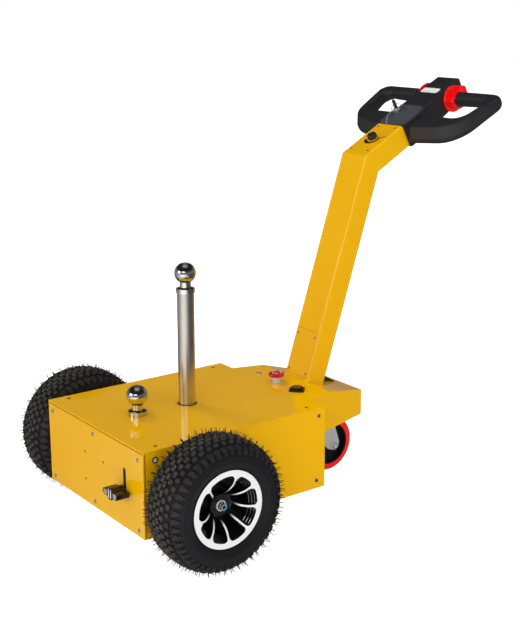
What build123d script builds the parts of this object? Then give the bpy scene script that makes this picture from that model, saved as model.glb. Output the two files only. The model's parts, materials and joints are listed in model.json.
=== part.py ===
from build123d import *
from math import atan2, cos, degrees, pi, radians, sin, sqrt, tan
import os

# Walk-behind battery tow tug, in millimetres. Z is up and the floor is Z = 0.
# The hitch end faces -Y and the operator stands at +Y. All sizes are given from the
# drive axle (Y = 0) and the finished nodes are moved so that the middle of the whole is Y = 0.

# ---- sheet body ---------------------------------------------------------------------------
body_half = 216.5
body_front = -130.0
body_rear = 372.0
body_top = 269.5
body_bottom = 68.5
sheet = 2.0
floor_plate = 5.0
tail_half_front = 161.0
tail_half_rear = 96.0
tail_rear = 591.5
tail_bottom = 170.5
fold_y = 451.0
tail_rear_top = 235.6
slope = (body_top - tail_rear_top) / (tail_rear - fold_y)
seam = 0.3

# ---- drive wheels -------------------------------------------------------------------------
tyre_radius = 152.0
tyre_width = 122.0
tyre_wall = 15.0
wheel_gap = 18.0
rim_flange_radius = 88.2
rim_seat_radius = 76.0
rim_well_radius = 66.0
rim_half_width = 51.8
ring_width = 12.5
spoke_width = 4.4
hub_radius = 24.0
hub_recess = 31.0
pocket_depth = 44.0
lug_count = 24
lug_depth = 5.0
lug_gap = 9.0
axle_radius = 10.0
axle_thread_radius = 4.5
hub_cup_radius = 11.5
hub_cup_depth = 4.0
hub_nut_radius = 8.4
hub_nut_height = 12.5
run_clearance = 0.05
axle_z = tyre_radius
wheel_track = 2 * (body_half + wheel_gap + tyre_width / 2)

# ---- caster -------------------------------------------------------------------------------
caster_radius = 72.0
caster_width = 38.0
caster_trail = 42.0
caster_y = 557.0
caster_axle_radius = 6.0
caster_rim_radius = 55.0
caster_rim_recess = 9.0
bridge_plate = 6.0
top_plate = 6.0
fork_sheet = 5.0
fork_gap = 6.0
swivel_race = 5.0
swivel_y = caster_y - caster_trail
bridge_z = tail_bottom + sheet

# ---- tow balls and post -------------------------------------------------------------------
ball_radius = 25.0
ball_flat_radius = 10.5
neck_radius = 13.0
neck_drop = 33.0
flange_drop = 36.0
flange_radius = 22.0
flange_thick = 10.0
low_ball_y = -12.0
post_y = 125.0
post_radius = 20.0
post_wall = 4.0
post_ball_z = 586.6
post_top = post_ball_z - flange_drop - flange_thick
post_hole_radius = 24.0
low_ball_z = body_top + flange_thick + flange_drop

# ---- tiller -------------------------------------------------------------------------------
tiller_half = 46.0
tiller_depth = 57.8
tiller_wall = 2.5
tiller_foot_y = 453.5
tiller_bend_y = 633.0
tiller_bend_z = 822.0
neck_end_y = 752.5
neck_end_z = 888.0

# ---- handle head, in its own frame: X across, U along the neck, N square to it ---------------
grip_u = 183.5
grip_n = -30.0
grip_radius = 15.5
grip_root_radius = 18.5
grip_root_drop = 3.0
spindle_radius = 9.0
wheel_disc_radius = 34.0
wheel_disc_thick = 8.0
wheel_paddle_thick = 19.0
console_half_front = 51.5
console_half_rear = 38.0
console_length = 232.0
console_depth = 62.0
console_end_depth = 40.0
opening_front = 78.0
bow_fillet = 13.5
crease_fillet = 4.0
side_draft = 21.5
draft_low = -38.0

lean = atan2(tiller_bend_y - tiller_foot_y, tiller_bend_z - body_top)
neck_rise = atan2(neck_end_z - tiller_bend_z, neck_end_y - tiller_bend_y)
knob_reach = 38.0
front_reach = body_front - knob_reach
rear_reach = neck_end_y + console_length * cos(neck_rise) + console_end_depth * sin(neck_rise)
middle_y = (front_reach + rear_reach) / 2

neck_up = (0, -sin(neck_rise), cos(neck_rise))
HEAD = Plane(origin=(0, neck_end_y, neck_end_z), x_dir=(1, 0, 0), z_dir=neck_up)
ACROSS = Plane(origin=(0, 0, 0), x_dir=(0, 1, 0), z_dir=(1, 0, 0))


def side_profile(points, half, low=None):
    """A (Y, Z) outline carried across the machine from -half (or low) to half."""
    start = -half if low is None else low
    face = make_face(Polyline(*points, close=True))
    return Pos(start, 0, 0) * (ACROSS * extrude(face, half - start))


def plan_profile(points, low, high):
    """An (X, Y) outline carried upwards from low to high."""
    face = make_face(Polyline(*points, close=True))
    return Pos(0, 0, low) * extrude(face, high - low)


def block(x0, x1, y0, y1, z0, z1):
    return Pos((x0 + x1) / 2, (y0 + y1) / 2, (z0 + z1) / 2) * Box(x1 - x0, y1 - y0, z1 - z0)


def upright(x, y, z0, z1, radius):
    return Pos(x, y, (z0 + z1) / 2) * Cylinder(radius, z1 - z0)


def rod_x(x0, x1, y, z, radius):
    return Pos((x0 + x1) / 2, y, z) * Rot(0, 90, 0) * Cylinder(radius, x1 - x0)


def rod_y(x, y0, y1, z, radius):
    return Pos(x, (y0 + y1) / 2, z) * Rot(90, 0, 0) * Cylinder(radius, y1 - y0)


def turned(points, axis_plane):
    """A profile of (radius, height) points turned through a full circle about the plane's height."""
    face = make_face(Polyline(*points, close=True))
    return revolve(axis_plane * face, Axis(axis_plane.origin, axis_plane.y_dir))


def slope_z(y, drop=0.0):
    return body_top - (y - fold_y) * slope - drop


def tail_half(y, inset=0.0):
    run = (y - body_rear) / (tail_rear - body_rear)
    return tail_half_front + (tail_half_rear - tail_half_front) * run - inset


# ---- sheet body ---------------------------------------------------------------------------
socket_x, socket_y = 81.0, 393.5
estop_y = 392.0
lamp_x, lamp_y = -83.5, 399.5
estop_barrel_radius = 11.0
estop_neck = 14.0
lamp_stem_radius = 3.4
socket_barrel_radius = 14.0
ball_stem_radius = 8.0


def deck_cover():
    under_fold = fold_y - sheet * tan(atan2(slope, 1) / 2)
    drop = sheet / cos(atan2(slope, 1))
    profile = [
        (body_front, body_top),
        (fold_y, body_top),
        (tail_rear, tail_rear_top),
        (tail_rear, tail_rear_top - drop),
        (under_fold, body_top - sheet),
        (body_front, body_top - sheet),
    ]
    outline = [
        (-body_half, body_front),
        (body_half, body_front),
        (body_half, body_rear),
        (tail_half_front, body_rear),
        (tail_half_rear, tail_rear),
        (-tail_half_rear, tail_rear),
        (-tail_half_front, body_rear),
        (-body_half, body_rear),
    ]
    deck = side_profile(profile, body_half) & plan_profile(outline, tail_bottom, body_top + sheet)
    holes = [
        (0, post_y, post_hole_radius),
        (0, low_ball_y, ball_stem_radius + 0.5),
        (0, estop_y, estop_barrel_radius + seam),
        (lamp_x, lamp_y, lamp_stem_radius + 0.2),
        (socket_x, socket_y, socket_barrel_radius + 0.2),
    ]
    for x, y, radius in holes:
        deck -= upright(x, y, body_top - 10, body_top + 10, radius)
    return deck


slot_x = body_half - 79.3
slot_low, slot_high, slot_width = 148.0, 209.0, 10.0
bolt_x, bolt_z, bolt_pitch_z = 42.0, 159.4, 66.4
bolt_hole_radius = 3.3


def front_panel():
    panel = block(-body_half, body_half, body_front, body_front + sheet, body_bottom, body_top - sheet)
    for side in (-1, 1):
        for level in (-0.5, 0.5):
            z = bolt_z + level * bolt_pitch_z
            panel -= rod_y(side * bolt_x, body_front - 5, body_front + 8, z, bolt_hole_radius)
    slot = block(
        slot_x - slot_width / 2, slot_x + slot_width / 2, body_front - 5, body_front + 8,
        slot_low + slot_width / 2, slot_high - slot_width / 2,
    )
    for z in (slot_low + slot_width / 2, slot_high - slot_width / 2):
        slot += rod_y(slot_x, body_front - 5, body_front + 8, z, slot_width / 2)
    return panel - slot


def side_panel(side):
    inner, outer = sorted((side * (body_half - sheet), side * body_half))
    panel = block(inner, outer, body_front + sheet, body_rear - sheet, body_bottom, body_top - sheet)
    return panel - rod_x(inner - 2, outer + 2, 0, axle_z, 24)


def rear_panel():
    panel = block(-body_half, body_half, body_rear - sheet, body_rear, body_bottom, body_top - sheet)
    return panel - block(
        -rib_x - rib_thick - 3, rib_x + rib_thick + 3,
        body_rear - 10, body_rear + 10, bridge_z - 3, body_top - 14,
    )


def tail_skirt():
    drop = sheet / cos(atan2(slope, 1))
    top = [
        (body_rear, tail_bottom),
        (tail_rear, tail_bottom),
        (tail_rear, tail_rear_top - drop),
        (fold_y - sheet * tan(atan2(slope, 1) / 2), body_top - sheet),
        (body_rear, body_top - sheet),
    ]
    outline = [
        (-tail_half_front, body_rear),
        (tail_half_front, body_rear),
        (tail_half_rear, tail_rear),
        (-tail_half_rear, tail_rear),
    ]
    inset = sheet * 1.045
    inner = [
        (-tail_half(body_rear - 5, inset), body_rear - 5),
        (tail_half(body_rear - 5, inset), body_rear - 5),
        (tail_half(tail_rear - sheet, inset), tail_rear - sheet),
        (-tail_half(tail_rear - sheet, inset), tail_rear - sheet),
    ]
    wall = side_profile(top, tail_half_front + 5) & plan_profile(outline, tail_bottom - 20, body_top + 30)
    return wall - plan_profile(inner, tail_bottom - 30, body_top + 40)


# ---- frame and drive ------------------------------------------------------------------------
rib_thick = 5.0
rib_x = tail_half_front - 21.0
beam_half = 60.0
beam_thick = 8.0
beam_front = -60.0
beam_rear = post_y + 60.0
socket_outer = 26.0


def chassis_frame():
    floor_top = body_bottom + floor_plate
    inside = body_half - sheet
    frame = block(-inside, inside, body_front + sheet, body_rear - sheet, body_bottom, floor_top)
    rib_rear = body_rear - sheet - seam
    rib = [
        (body_front + 12, floor_top),
        (rib_rear, floor_top),
        (rib_rear, bridge_z),
        (body_rear + 33, bridge_z),
        (body_rear + 33, bridge_z + 33),
        (body_rear - 52, bridge_z + 33),
        (body_rear - 72, bridge_z + 18),
        (body_front + 12, bridge_z + 18),
    ]
    for side in (-1, 1):
        low, high = sorted((side * rib_x, side * (rib_x + rib_thick)))
        frame += side_profile(rib, high, low)
    inset = sheet * 1.045
    bridge = [
        (-rib_x, body_rear - 8),
        (rib_x, body_rear - 8),
        (rib_x, body_rear + seam),
        (tail_half(body_rear, inset + rib_thick), body_rear + seam),
        (tail_half(tail_rear - sheet, inset + seam), tail_rear - sheet - seam),
        (-tail_half(tail_rear - sheet, inset + seam), tail_rear - sheet - seam),
        (-tail_half(body_rear, inset + rib_thick), body_rear + seam),
        (-rib_x, body_rear + seam),
    ]
    frame += plan_profile(bridge, bridge_z, bridge_z + bridge_plate)
    beam_top = body_top - sheet
    beam_under = beam_top - beam_thick
    frame += block(-beam_half, beam_half, beam_front, beam_rear, beam_under, beam_top)
    for y in (beam_front, beam_rear):
        frame += block(-rib_x - 1, rib_x + 1, y - 2.5, y + 2.5, floor_top, bridge_z + 16)
        frame += block(-beam_half, beam_half, y - 2.5, y + 2.5, bridge_z + 8, beam_top)
    frame -= upright(0, post_y, beam_under - 5, beam_top + 5, post_hole_radius)
    frame -= upright(0, low_ball_y, beam_under - 5, beam_top + 5, ball_stem_radius + 0.5)
    frame -= rod_x(-rib_x - 10, -rib_x + 5, 0, axle_z, axle_tube_radius + seam)
    frame -= rod_x(rib_x - 5, rib_x + 10, 0, axle_z, axle_tube_radius + seam)
    frame -= upright(0, swivel_y, bridge_z - 5, bridge_z + bridge_plate + 5, 8.0)
    return frame


axle_tube_radius = 21.0
axle_tube_end = body_half + 6.0
shaft_inner = 110.0
gear_x = -75.0
gear_half = 56.0
gear_rear = 48.0
motor_length = 112.0


def transaxle():
    body = block(gear_x - 47, gear_x + 47, -50, gear_rear, axle_z - gear_half, axle_z + gear_half)
    body = fillet(body.edges().filter_by(Axis.X), 14)
    body += rod_x(-axle_tube_end, axle_tube_end, 0, axle_z, axle_tube_radius)
    for side in (-1, 1):
        low, high = sorted((side * shaft_inner, side * (axle_tube_end + 5)))
        body -= rod_x(low, high, 0, axle_z, axle_radius + run_clearance)
    return body


def drive_motor():
    motor_rear = gear_rear + motor_length
    motor = rod_y(gear_x, gear_rear, motor_rear, axle_z, gear_half - 14)
    motor += rod_y(gear_x, motor_rear, motor_rear + 8, axle_z, 24)
    return motor


def battery(side):
    low, high = sorted((side * 4, side * (rib_x - 6)))
    return block(low, high, beam_rear + 9, body_rear - 12, body_bottom + floor_plate, body_top - 27.5)


# ---- tow balls ----------------------------------------------------------------------------
def tow_ball(y, ball_z, stem_low, stem_radius):
    """A turned ball: stem, flange, short cone, neck and ball with a flat top."""
    flange_top = ball_z - flange_drop
    neck_low = ball_z - neck_drop
    neck_high = ball_z - sqrt(ball_radius**2 - neck_radius**2)
    flat_z = ball_z + sqrt(ball_radius**2 - ball_flat_radius**2)
    flange_low = flange_top - flange_thick
    outline = [
        Line((0, stem_low), (stem_radius, stem_low)),
        Line((stem_radius, stem_low), (stem_radius, flange_low)),
        Line((stem_radius, flange_low), (flange_radius, flange_low)),
        Line((flange_radius, flange_low), (flange_radius, flange_top)),
        Line((flange_radius, flange_top), (neck_radius, neck_low)),
        Line((neck_radius, neck_low), (neck_radius, neck_high)),
        ThreePointArc((neck_radius, neck_high), (ball_radius, ball_z), (ball_flat_radius, flat_z)),
        Line((ball_flat_radius, flat_z), (0, flat_z)),
        Line((0, flat_z), (0, stem_low)),
    ]
    profile = make_face(Curve() + outline)
    return Pos(0, y, 0) * revolve(Plane.XZ * profile, Axis.Z)


def low_ball():
    return tow_ball(low_ball_y, low_ball_z, body_top - sheet - beam_thick - 22, ball_stem_radius)


def post_ball():
    return tow_ball(post_y, post_ball_z, post_top - 25, post_radius - post_wall - 0.2)


def hitch_post():
    low = body_bottom + floor_plate
    tube = upright(0, post_y, low, post_top, post_radius)
    return tube - upright(0, post_y, low - 5, post_top + 5, post_radius - post_wall)


def post_socket():
    low = body_bottom + floor_plate
    sleeve = upright(0, post_y, low, bridge_z + 5, socket_outer)
    return sleeve - upright(0, post_y, low - 5, bridge_z + 10, post_radius + 0.1)


def stem_nut():
    top = body_top - sheet - beam_thick
    nut = extrude(RegularPolygon(13.8, 6), 13)
    return Pos(0, low_ball_y, top - 13) * (nut - Cylinder(ball_stem_radius + 0.1, 40))


# ---- controls on the deck -------------------------------------------------------------------
def estop_base():
    ring = upright(0, estop_y, body_top, body_top + 2.5, 13)
    ring += upright(0, estop_y, body_top + 2.5, body_top + estop_neck, estop_barrel_radius)
    ring += upright(0, estop_y, body_top - 24, body_top, estop_barrel_radius)
    return ring


def estop_button():
    under = estop_neck + seam
    outline = [
        (0, under), (13, under), (19, under + 2.5), (20.3, under + 6),
        (19.5, under + 9), (15, under + 11.4), (0, under + 12.2),
    ]
    base = Plane(origin=(0, estop_y, body_top), x_dir=(1, 0, 0), z_dir=(0, -1, 0))
    return turned(outline, base)


def status_lamp():
    lamp = upright(lamp_x, lamp_y, body_top, body_top + 1.5, 5.2)
    lamp += upright(lamp_x, lamp_y, body_top + 1.5, body_top + 3.5, 3.4)
    lamp += upright(lamp_x, lamp_y, body_top - 12, body_top, lamp_stem_radius)
    return lamp


def charge_socket():
    flange = extrude(RectangleRounded(37, 37, 6), 3)
    flange = Pos(socket_x, socket_y, body_top) * Rot(0, 0, 45) * flange
    flange += upright(socket_x, socket_y, body_top - 22, body_top, socket_barrel_radius)
    return flange


def charge_cap():
    cap = upright(socket_x, socket_y, body_top + 3, body_top + 9, 15)
    return chamfer(cap.edges().group_by(Axis.Z)[-1], 1.5)


knob_z = 158.5
knob_half = 31.0
knob_bar = 14.0
knob_length = 31.0
stud_radius = 4.0


def release_stud():
    stud = rod_y(slot_x, body_front - 16, body_front + 10, knob_z, stud_radius)
    stud += rod_y(slot_x, body_front + sheet, body_front + sheet + 4, knob_z, slot_width / 2 + 4)
    return stud


def release_knob():
    """A bar-shaped knob of one section: a long grip with a round boss at its middle."""
    front = body_front - knob_reach
    face = Rectangle(2 * knob_half, knob_bar)
    face = fillet(face.vertices(), 5) + Circle(knob_bar)
    face = fillet([v for v in face.vertices() if abs(v.X) < knob_bar], 2)
    knob = Pos(slot_x, front, knob_z) * (Plane.XZ * extrude(face, -knob_length))
    return knob - rod_y(slot_x, body_front - 16, body_front + 1, knob_z, stud_radius)


# ---- tiller ---------------------------------------------------------------------------------
def along(point, angle, distance, offset):
    """A point at a distance along a line rising at angle from Z towards Y, offset square to it."""
    y, z = point
    return (
        y + distance * sin(angle) + offset * cos(angle),
        z + distance * cos(angle) - offset * sin(angle),
    )


def bend_point(offset):
    """Where the column and neck lines meet when both are moved in by the same offset."""
    neck_lean = pi / 2 - neck_rise
    turn = (neck_lean - lean) / 2
    reach = offset / cos(turn)
    middle = lean + turn
    return (tiller_bend_y + reach * cos(middle), tiller_bend_z - reach * sin(middle))


def foot_point(offset):
    """Where a column line, moved in by offset, meets the sloping deck."""
    y, z = along((tiller_bend_y, tiller_bend_z), lean, 0, offset)
    fall = (z - slope_z(y)) / (cos(lean) + slope * sin(lean))
    return (y - fall * sin(lean), z - fall * cos(lean))


def tiller_section(offset, extra):
    neck_lean = pi / 2 - neck_rise
    end = along((neck_end_y, neck_end_z), neck_lean, extra, offset)
    foot = foot_point(offset)
    foot = (foot[0] - extra * sin(lean), foot[1] - extra * cos(lean))
    return [foot, bend_point(offset), end]


cover_low, cover_high, cover_half = 8.0, 126.0, 40.0
plate_low, plate_high, plate_half = -127.0, -5.0, 40.0


def column_frame():
    foot = foot_point(0)
    return Plane(origin=(0, foot[0], foot[1]), x_dir=(1, 0, 0), z_dir=(0, -cos(lean), sin(lean)))


def tiller_arm():
    outer = tiller_section(0, 0) + tiller_section(tiller_depth, 0)[::-1]
    inner = tiller_section(tiller_wall, 60) + tiller_section(tiller_depth - tiller_wall, 60)[::-1]
    shell = side_profile(outer, tiller_half)
    long_edges = [e for e in shell.edges() if abs(e.center().X) > tiller_half - 1 and e.length > 130]
    shell = fillet(long_edges, 6)
    shell -= side_profile(inner, tiller_half - tiller_wall)
    window = extrude(Rectangle(2 * cover_half, cover_high - cover_low), 8, both=True)
    shell -= column_frame() * Pos(0, (cover_low + cover_high) / 2, 0) * window
    hatch = extrude(Rectangle(2 * plate_half, plate_high - plate_low), 8, both=True)
    shell -= HEAD * Pos(0, (plate_low + plate_high) / 2, 0) * hatch
    return shell


def tiller_cover():
    plate = extrude(Rectangle(2 * cover_half - 2 * seam, cover_high - cover_low - 2 * seam), -tiller_wall)
    return column_frame() * Pos(0, (cover_low + cover_high) / 2, 0) * plate


def neck_plate():
    plate = extrude(Rectangle(2 * plate_half - 2 * seam, plate_high - plate_low - 2 * seam), -tiller_wall)
    plate = Pos(0, (plate_low + plate_high) / 2, 0) * plate
    plate -= Pos(0, speed_u, 0) * Cylinder(4.2, 20)
    lug = Pos(-7, -9, 1.6) * Rot(0, 0, 31.5) * Box(4.4, 5, 3.2)
    return HEAD * (plate + lug)


speed_u = -64.0


def speed_knob():
    knob = Pos(0, speed_u, 7) * Cylinder(11.5, 13)
    knob = chamfer(knob.edges().group_by(Axis.Z)[-1], 1.5)
    knob += Pos(0, speed_u, 0) * Cylinder(7, 2, align=(Align.CENTER, Align.CENTER, Align.MIN))
    knob += Pos(0, speed_u, -12) * Cylinder(4, 13, align=(Align.CENTER, Align.CENTER, Align.MIN))
    return HEAD * knob


# ---- handle head -----------------------------------------------------------------------------
front_corner = (195.5, 20.0)
front_corner_radius = 88.0
rear_corner_radius = 33.0
side_run = 0.165
bow_front_u = 1.0
bow_width = 33.0


def bow_side(u, inset=0.0):
    return front_corner[0] + (u - front_corner[1]) * side_run - inset


def bow_outline(rear_u):
    """The bow's outer plan back to rear_u, with its broad front corners rounded."""
    points = [
        (-bow_side(rear_u), rear_u),
        (-front_corner[0], front_corner[1]),
        (-60, bow_front_u),
        (60, bow_front_u),
        front_corner,
        (bow_side(rear_u), rear_u),
    ]
    face = make_face(Polyline(*points, close=True))
    front = [v for v in face.vertices() if abs(v.Y - front_corner[1]) < 1]
    return fillet(front, front_corner_radius)


def bow_draft():
    """What leans in above the bow's front and sides: all that lies outside a tapered block."""
    tapered = extrude(offset(bow_outline(grip_u + 80), 0.6), 60, taper=side_draft)
    return block(-300, 300, -60, grip_u + 60, draft_low, 5) - Pos(0, 0, draft_low) * tapered


def on_crease(edge):
    """True for the bow's upper outer edges, where the drafted sides meet the top."""
    middle = edge @ 0.5
    outside = middle.Y < opening_front - 15 or abs(middle.X) > bow_side(middle.Y) - 18
    return outside and middle.Z > grip_n + 8 and middle.Y < grip_u - 24 and edge.length > 20


def bow_opening(side):
    rear_u = grip_u - grip_radius
    inner = 34.0
    points = [
        (side * inner, opening_front),
        (side * bow_side(opening_front, bow_width), opening_front),
        (side * bow_side(rear_u, bow_width), rear_u),
        (side * inner, rear_u),
    ]
    face = make_face(Polyline(*points, close=True))
    front = [v for v in face.vertices() if abs(v.X) > inner + 10 and v.Y < opening_front + 5]
    face = fillet(front, 32)
    rear = [v for v in face.vertices() if abs(v.X) > inner + 60 and v.Y > rear_u - 5]
    return fillet(rear, 20)


def handle_bow():
    """The handle's closed ring: a plan outline between two tapering planes, its sides drafted."""
    plan = bow_outline(grip_u + grip_radius)
    plan = fillet([v for v in plan.vertices() if v.Y > grip_u], rear_corner_radius)
    ring = Pos(0, 0, -90) * extrude(plan - bow_opening(1) - bow_opening(-1), 120)
    top_front, top_rear = -8.0, grip_n + grip_radius + 0.5
    low_front, low_rear = -57.0, grip_n - grip_radius - 0.5
    fall = (top_rear - top_front) / grip_u
    rise = (low_rear - low_front) / grip_u
    wedge = [
        (-40, top_front - 40 * fall),
        (260, top_front + 260 * fall),
        (260, low_front + 260 * rise),
        (-40, low_front - 40 * rise),
    ]
    ring = (ring & side_profile(wedge, 260)) - bow_draft()
    rims = [e for e in ring.edges() if abs(e.tangent_at(0.5).Z) < 0.5]
    low_seam = [e for e in rims if abs((e @ 0.5).Z - draft_low) < 3]
    rims = [e for e in rims if e not in low_seam and not on_crease(e)]
    ring = fillet(rims, bow_fillet)
    return fillet([e for e in ring.edges() if on_crease(e)], crease_fillet)


def console_block():
    side = [
        (0.3, 0),
        (console_length, 0),
        (console_length, -console_end_depth),
        (console_length - 14, -console_end_depth - 12),
        (150, -58),
        (8, -console_depth),
        (0.3, -console_depth + 2),
    ]
    plan = [
        (-console_half_front, 0.3),
        (console_half_front, 0.3),
        (console_half_rear, console_length + 1),
        (-console_half_rear, console_length + 1),
    ]
    body = side_profile(side, 80) & plan_profile(plan, -90, 20)
    upper = [e for e in body.edges() if e.center().Z > -20 and e.length > 50]
    return fillet(upper, 5)


def console_side(u):
    """Half the console's width at a distance along it."""
    return console_half_front - (console_half_front - console_half_rear) * u / console_length


wheel_inner = console_side(grip_u - wheel_disc_radius) + 0.8
wheel_outer = wheel_inner + wheel_disc_thick + wheel_paddle_thick
root_n = grip_n - grip_root_drop


def grip_root(side):
    """The grip bar's thicker root, with the spindle that carries the thumb wheel."""
    reach = 90.0
    cone = Solid.make_cone(grip_root_radius, grip_radius, reach, Plane(origin=(0, 0, 0), z_dir=(1, 0, 0)))
    cone = Pos(wheel_outer + seam, grip_u, root_n) * cone
    spindle = rod_x(console_half_rear - 5, wheel_outer + 2, grip_u, root_n, spindle_radius)
    root = cone + spindle
    return root if side > 0 else mirror(root, Plane.YZ)


def handle_body():
    body = handle_bow()
    room = wheel_disc_radius + 1
    for side in (-1, 1):
        low, high = sorted((side * (console_half_rear - 8), side * (wheel_outer + seam)))
        body -= block(low, high, grip_u - room, grip_u + room, root_n - room, root_n + room)
    body += console_block()
    for side in (-1, 1):
        body += grip_root(side)
    return HEAD * body


def thumb_wheel(side):
    """A butterfly throttle: a disc against the console, and on it a paddle with a square tab behind."""
    disc = rod_x(wheel_inner, wheel_inner + wheel_disc_thick, grip_u, root_n, wheel_disc_radius)
    disc = chamfer(disc.edges().filter_by(GeomType.CIRCLE).sort_by(Axis.X)[-1:], 1.5)
    paddle = [(-27, 11), (18, 17), (31.5, 25), (33, 0), (23, -18), (3, -27), (-16, -22), (-24, -6)]
    face = fillet(make_face(Polyline(*paddle, close=True)).vertices(), 3)
    start = wheel_inner + wheel_disc_thick - 1
    bar = Pos(start, grip_u, root_n) * (ACROSS * extrude(face, wheel_paddle_thick + 1))
    bar = fillet(bar.edges().group_by(Axis.X)[-1], 2)
    bore = rod_x(wheel_inner - 5, wheel_outer + 5, grip_u, root_n, spindle_radius + run_clearance)
    wheel = disc + bar - bore
    if side < 0:
        wheel = mirror(wheel, Plane.YZ)
    return HEAD * wheel


key_x, key_u = -37.0, 66.0


def key_switch():
    barrel = Pos(key_x, key_u, 0) * Cylinder(8.5, 5, align=(Align.CENTER, Align.CENTER, Align.MIN))
    return HEAD * barrel


key_half = 5.5
key_thick = 2.6
key_eye = (key_x, key_u, 16.8)
key_ring_radius = 13.0
key_ring_wire = 0.9
key_ring_fall = radians(36.9)
key_ring_turn = radians(30)
ring_side = Vector(sin(key_ring_turn), cos(key_ring_turn), 0)
ring_fall = Vector(
    cos(key_ring_fall) * cos(key_ring_turn),
    -cos(key_ring_fall) * sin(key_ring_turn),
    -sin(key_ring_fall),
)
ring_centre = Vector(*key_eye) + ring_fall * key_ring_radius
crimp_reach = 5.8
crimp_turn = -100
tether_radius = 0.75


def ring_spoke(turn):
    """The direction from the key ring's centre to its wire, turned from the ignition key's eye."""
    return ring_side * sin(radians(turn)) - ring_fall * cos(radians(turn))


def ignition_key():
    bow = block(key_x - key_half, key_x + key_half, key_u - key_thick / 2, key_u + key_thick / 2, 5, 30)
    bow = fillet(bow.edges().filter_by(Axis.Y).group_by(Axis.Z)[-1], 4.5)
    eye = Pos(*key_eye) * Rot(90, 0, 0) * Cylinder(2.6, 2 * key_thick)
    return HEAD * (bow - eye)


def key_ring():
    """Wire ring through the ignition key's eye, lying on the console, with a crimp for its tether."""
    plane = Plane(origin=ring_centre, x_dir=ring_side, z_dir=ring_side.cross(ring_fall))
    ring = plane * Torus(key_ring_radius, key_ring_wire)
    spoke = ring_spoke(crimp_turn)
    start = Plane(origin=ring_centre + spoke * key_ring_radius, z_dir=spoke)
    ring += start * Cylinder(1.4, crimp_reach, align=(Align.CENTER, Align.CENTER, Align.MIN))
    return HEAD * ring


def spare_key(turn, lie):
    """A flat key hung on the ring: an eye where the wire passes, a round bow and a plain blade."""
    eye = ring_centre + ring_spoke(turn) * key_ring_radius
    wire = ring_side * cos(radians(turn)) + ring_fall * sin(radians(turn))
    blade = Vector(*lie).normalized()
    plate = extrude(Circle(5) + Pos(8.5, 0) * Rectangle(17, 4) - Circle(2.3), 0.7, both=True)
    return HEAD * Plane(origin=eye, x_dir=blade, z_dir=wire - blade * wire.dot(blade)) * plate


tether_end = ring_centre + ring_spoke(crimp_turn) * (key_ring_radius + crimp_reach)
tether_route = [
    (-8.31, -6.86, 1.6),
    (-12.5, 0.0, 1.6),
    (-23.5, 13.0, 1.9),
    (-33.0, 26.0, 4.2),
    (-37.6, 36.6, 6.4),
    (tether_end.X, tether_end.Y, tether_end.Z),
]


def cord_path(points):
    """Straight runs joined by arcs, each as large as its two runs allow."""
    corners = [Vector(*p) for p in points]
    radii = []
    for before, corner, after in zip(corners, corners[1:], corners[2:]):
        into, out = corner - before, after - corner
        half_turn = radians(into.get_angle(out)) / 2
        radii.append(0.45 * min(into.length, out.length) / tan(half_turn))
    print("cord radii", [round(r, 1) for r in radii])
    return FilletPolyline(*corners, radius=radii)


def key_tether():
    path = cord_path(tether_route)
    section = Plane(origin=path @ 0, z_dir=path % 0) * Circle(tether_radius)
    return HEAD * sweep(section, path=path)


def label_plate():
    plate = Pos(-3, 164, 0) * extrude(RectangleRounded(58, 20, 4), 1.2)
    return HEAD * plate


# ---- cable gland behind the tiller ------------------------------------------------------------
def cable_gland():
    foot = foot_point(tiller_depth)
    y0 = foot[0] + seam
    y1 = y0 + 56
    height = 13
    profile = [
        (y0, slope_z(y0)),
        (y1, slope_z(y1)),
        (y1, slope_z(y1) + 2),
        (y0 + 16, slope_z(y0) + height),
        (y0 + height * tan(lean), slope_z(y0) + height),
    ]
    return side_profile(profile, 19)


# ---- caster -----------------------------------------------------------------------------------
plate_top_z = bridge_z
race_top_z = plate_top_z - top_plate


def caster_plate():
    plate = extrude(RectangleRounded(100, 84, 8), top_plate)
    plate = Pos(0, swivel_y, race_top_z) * plate
    plate += upright(0, swivel_y, race_top_z - 4, race_top_z, 24)
    return plate


fork_top_z = race_top_z - 4 - 0.4


def caster_fork():
    """Pressed fork: a crown under the race and two legs swept back to the wheel axle."""
    inner = caster_width / 2 + fork_gap
    crown = upright(0, swivel_y, fork_top_z - fork_sheet, fork_top_z, 30)
    half = inner + fork_sheet
    crown += block(-half, half, swivel_y - 26, swivel_y + 32, fork_top_z - fork_sheet, fork_top_z)
    leg = [
        (swivel_y - 26, fork_top_z),
        (swivel_y + 34, fork_top_z),
        (caster_y + 19, caster_radius + 9),
        (caster_y + 18, caster_radius - 4),
        (caster_y, caster_radius - 13),
        (caster_y - 17, caster_radius - 7),
        (caster_y - 31, caster_radius + 9),
    ]
    fork = crown
    for side in (-1, 1):
        low, high = sorted((side * inner, side * (inner + fork_sheet)))
        fork += side_profile(leg, high, low)
    return fork - rod_x(-60, 60, caster_y, caster_radius, caster_axle_radius + run_clearance)


def caster_axle():
    end = caster_width / 2 + fork_gap + fork_sheet
    pin = rod_x(-end - 10, end + 10, caster_y, caster_radius, caster_axle_radius)
    for side in (-1, 1):
        low, high = sorted((side * end, side * (end + 7)))
        nut = extrude(RegularPolygon(10.5, 6), high - low)
        pin += Pos(low, caster_y, caster_radius) * Rot(0, 90, 0) * nut
    return pin


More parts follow.
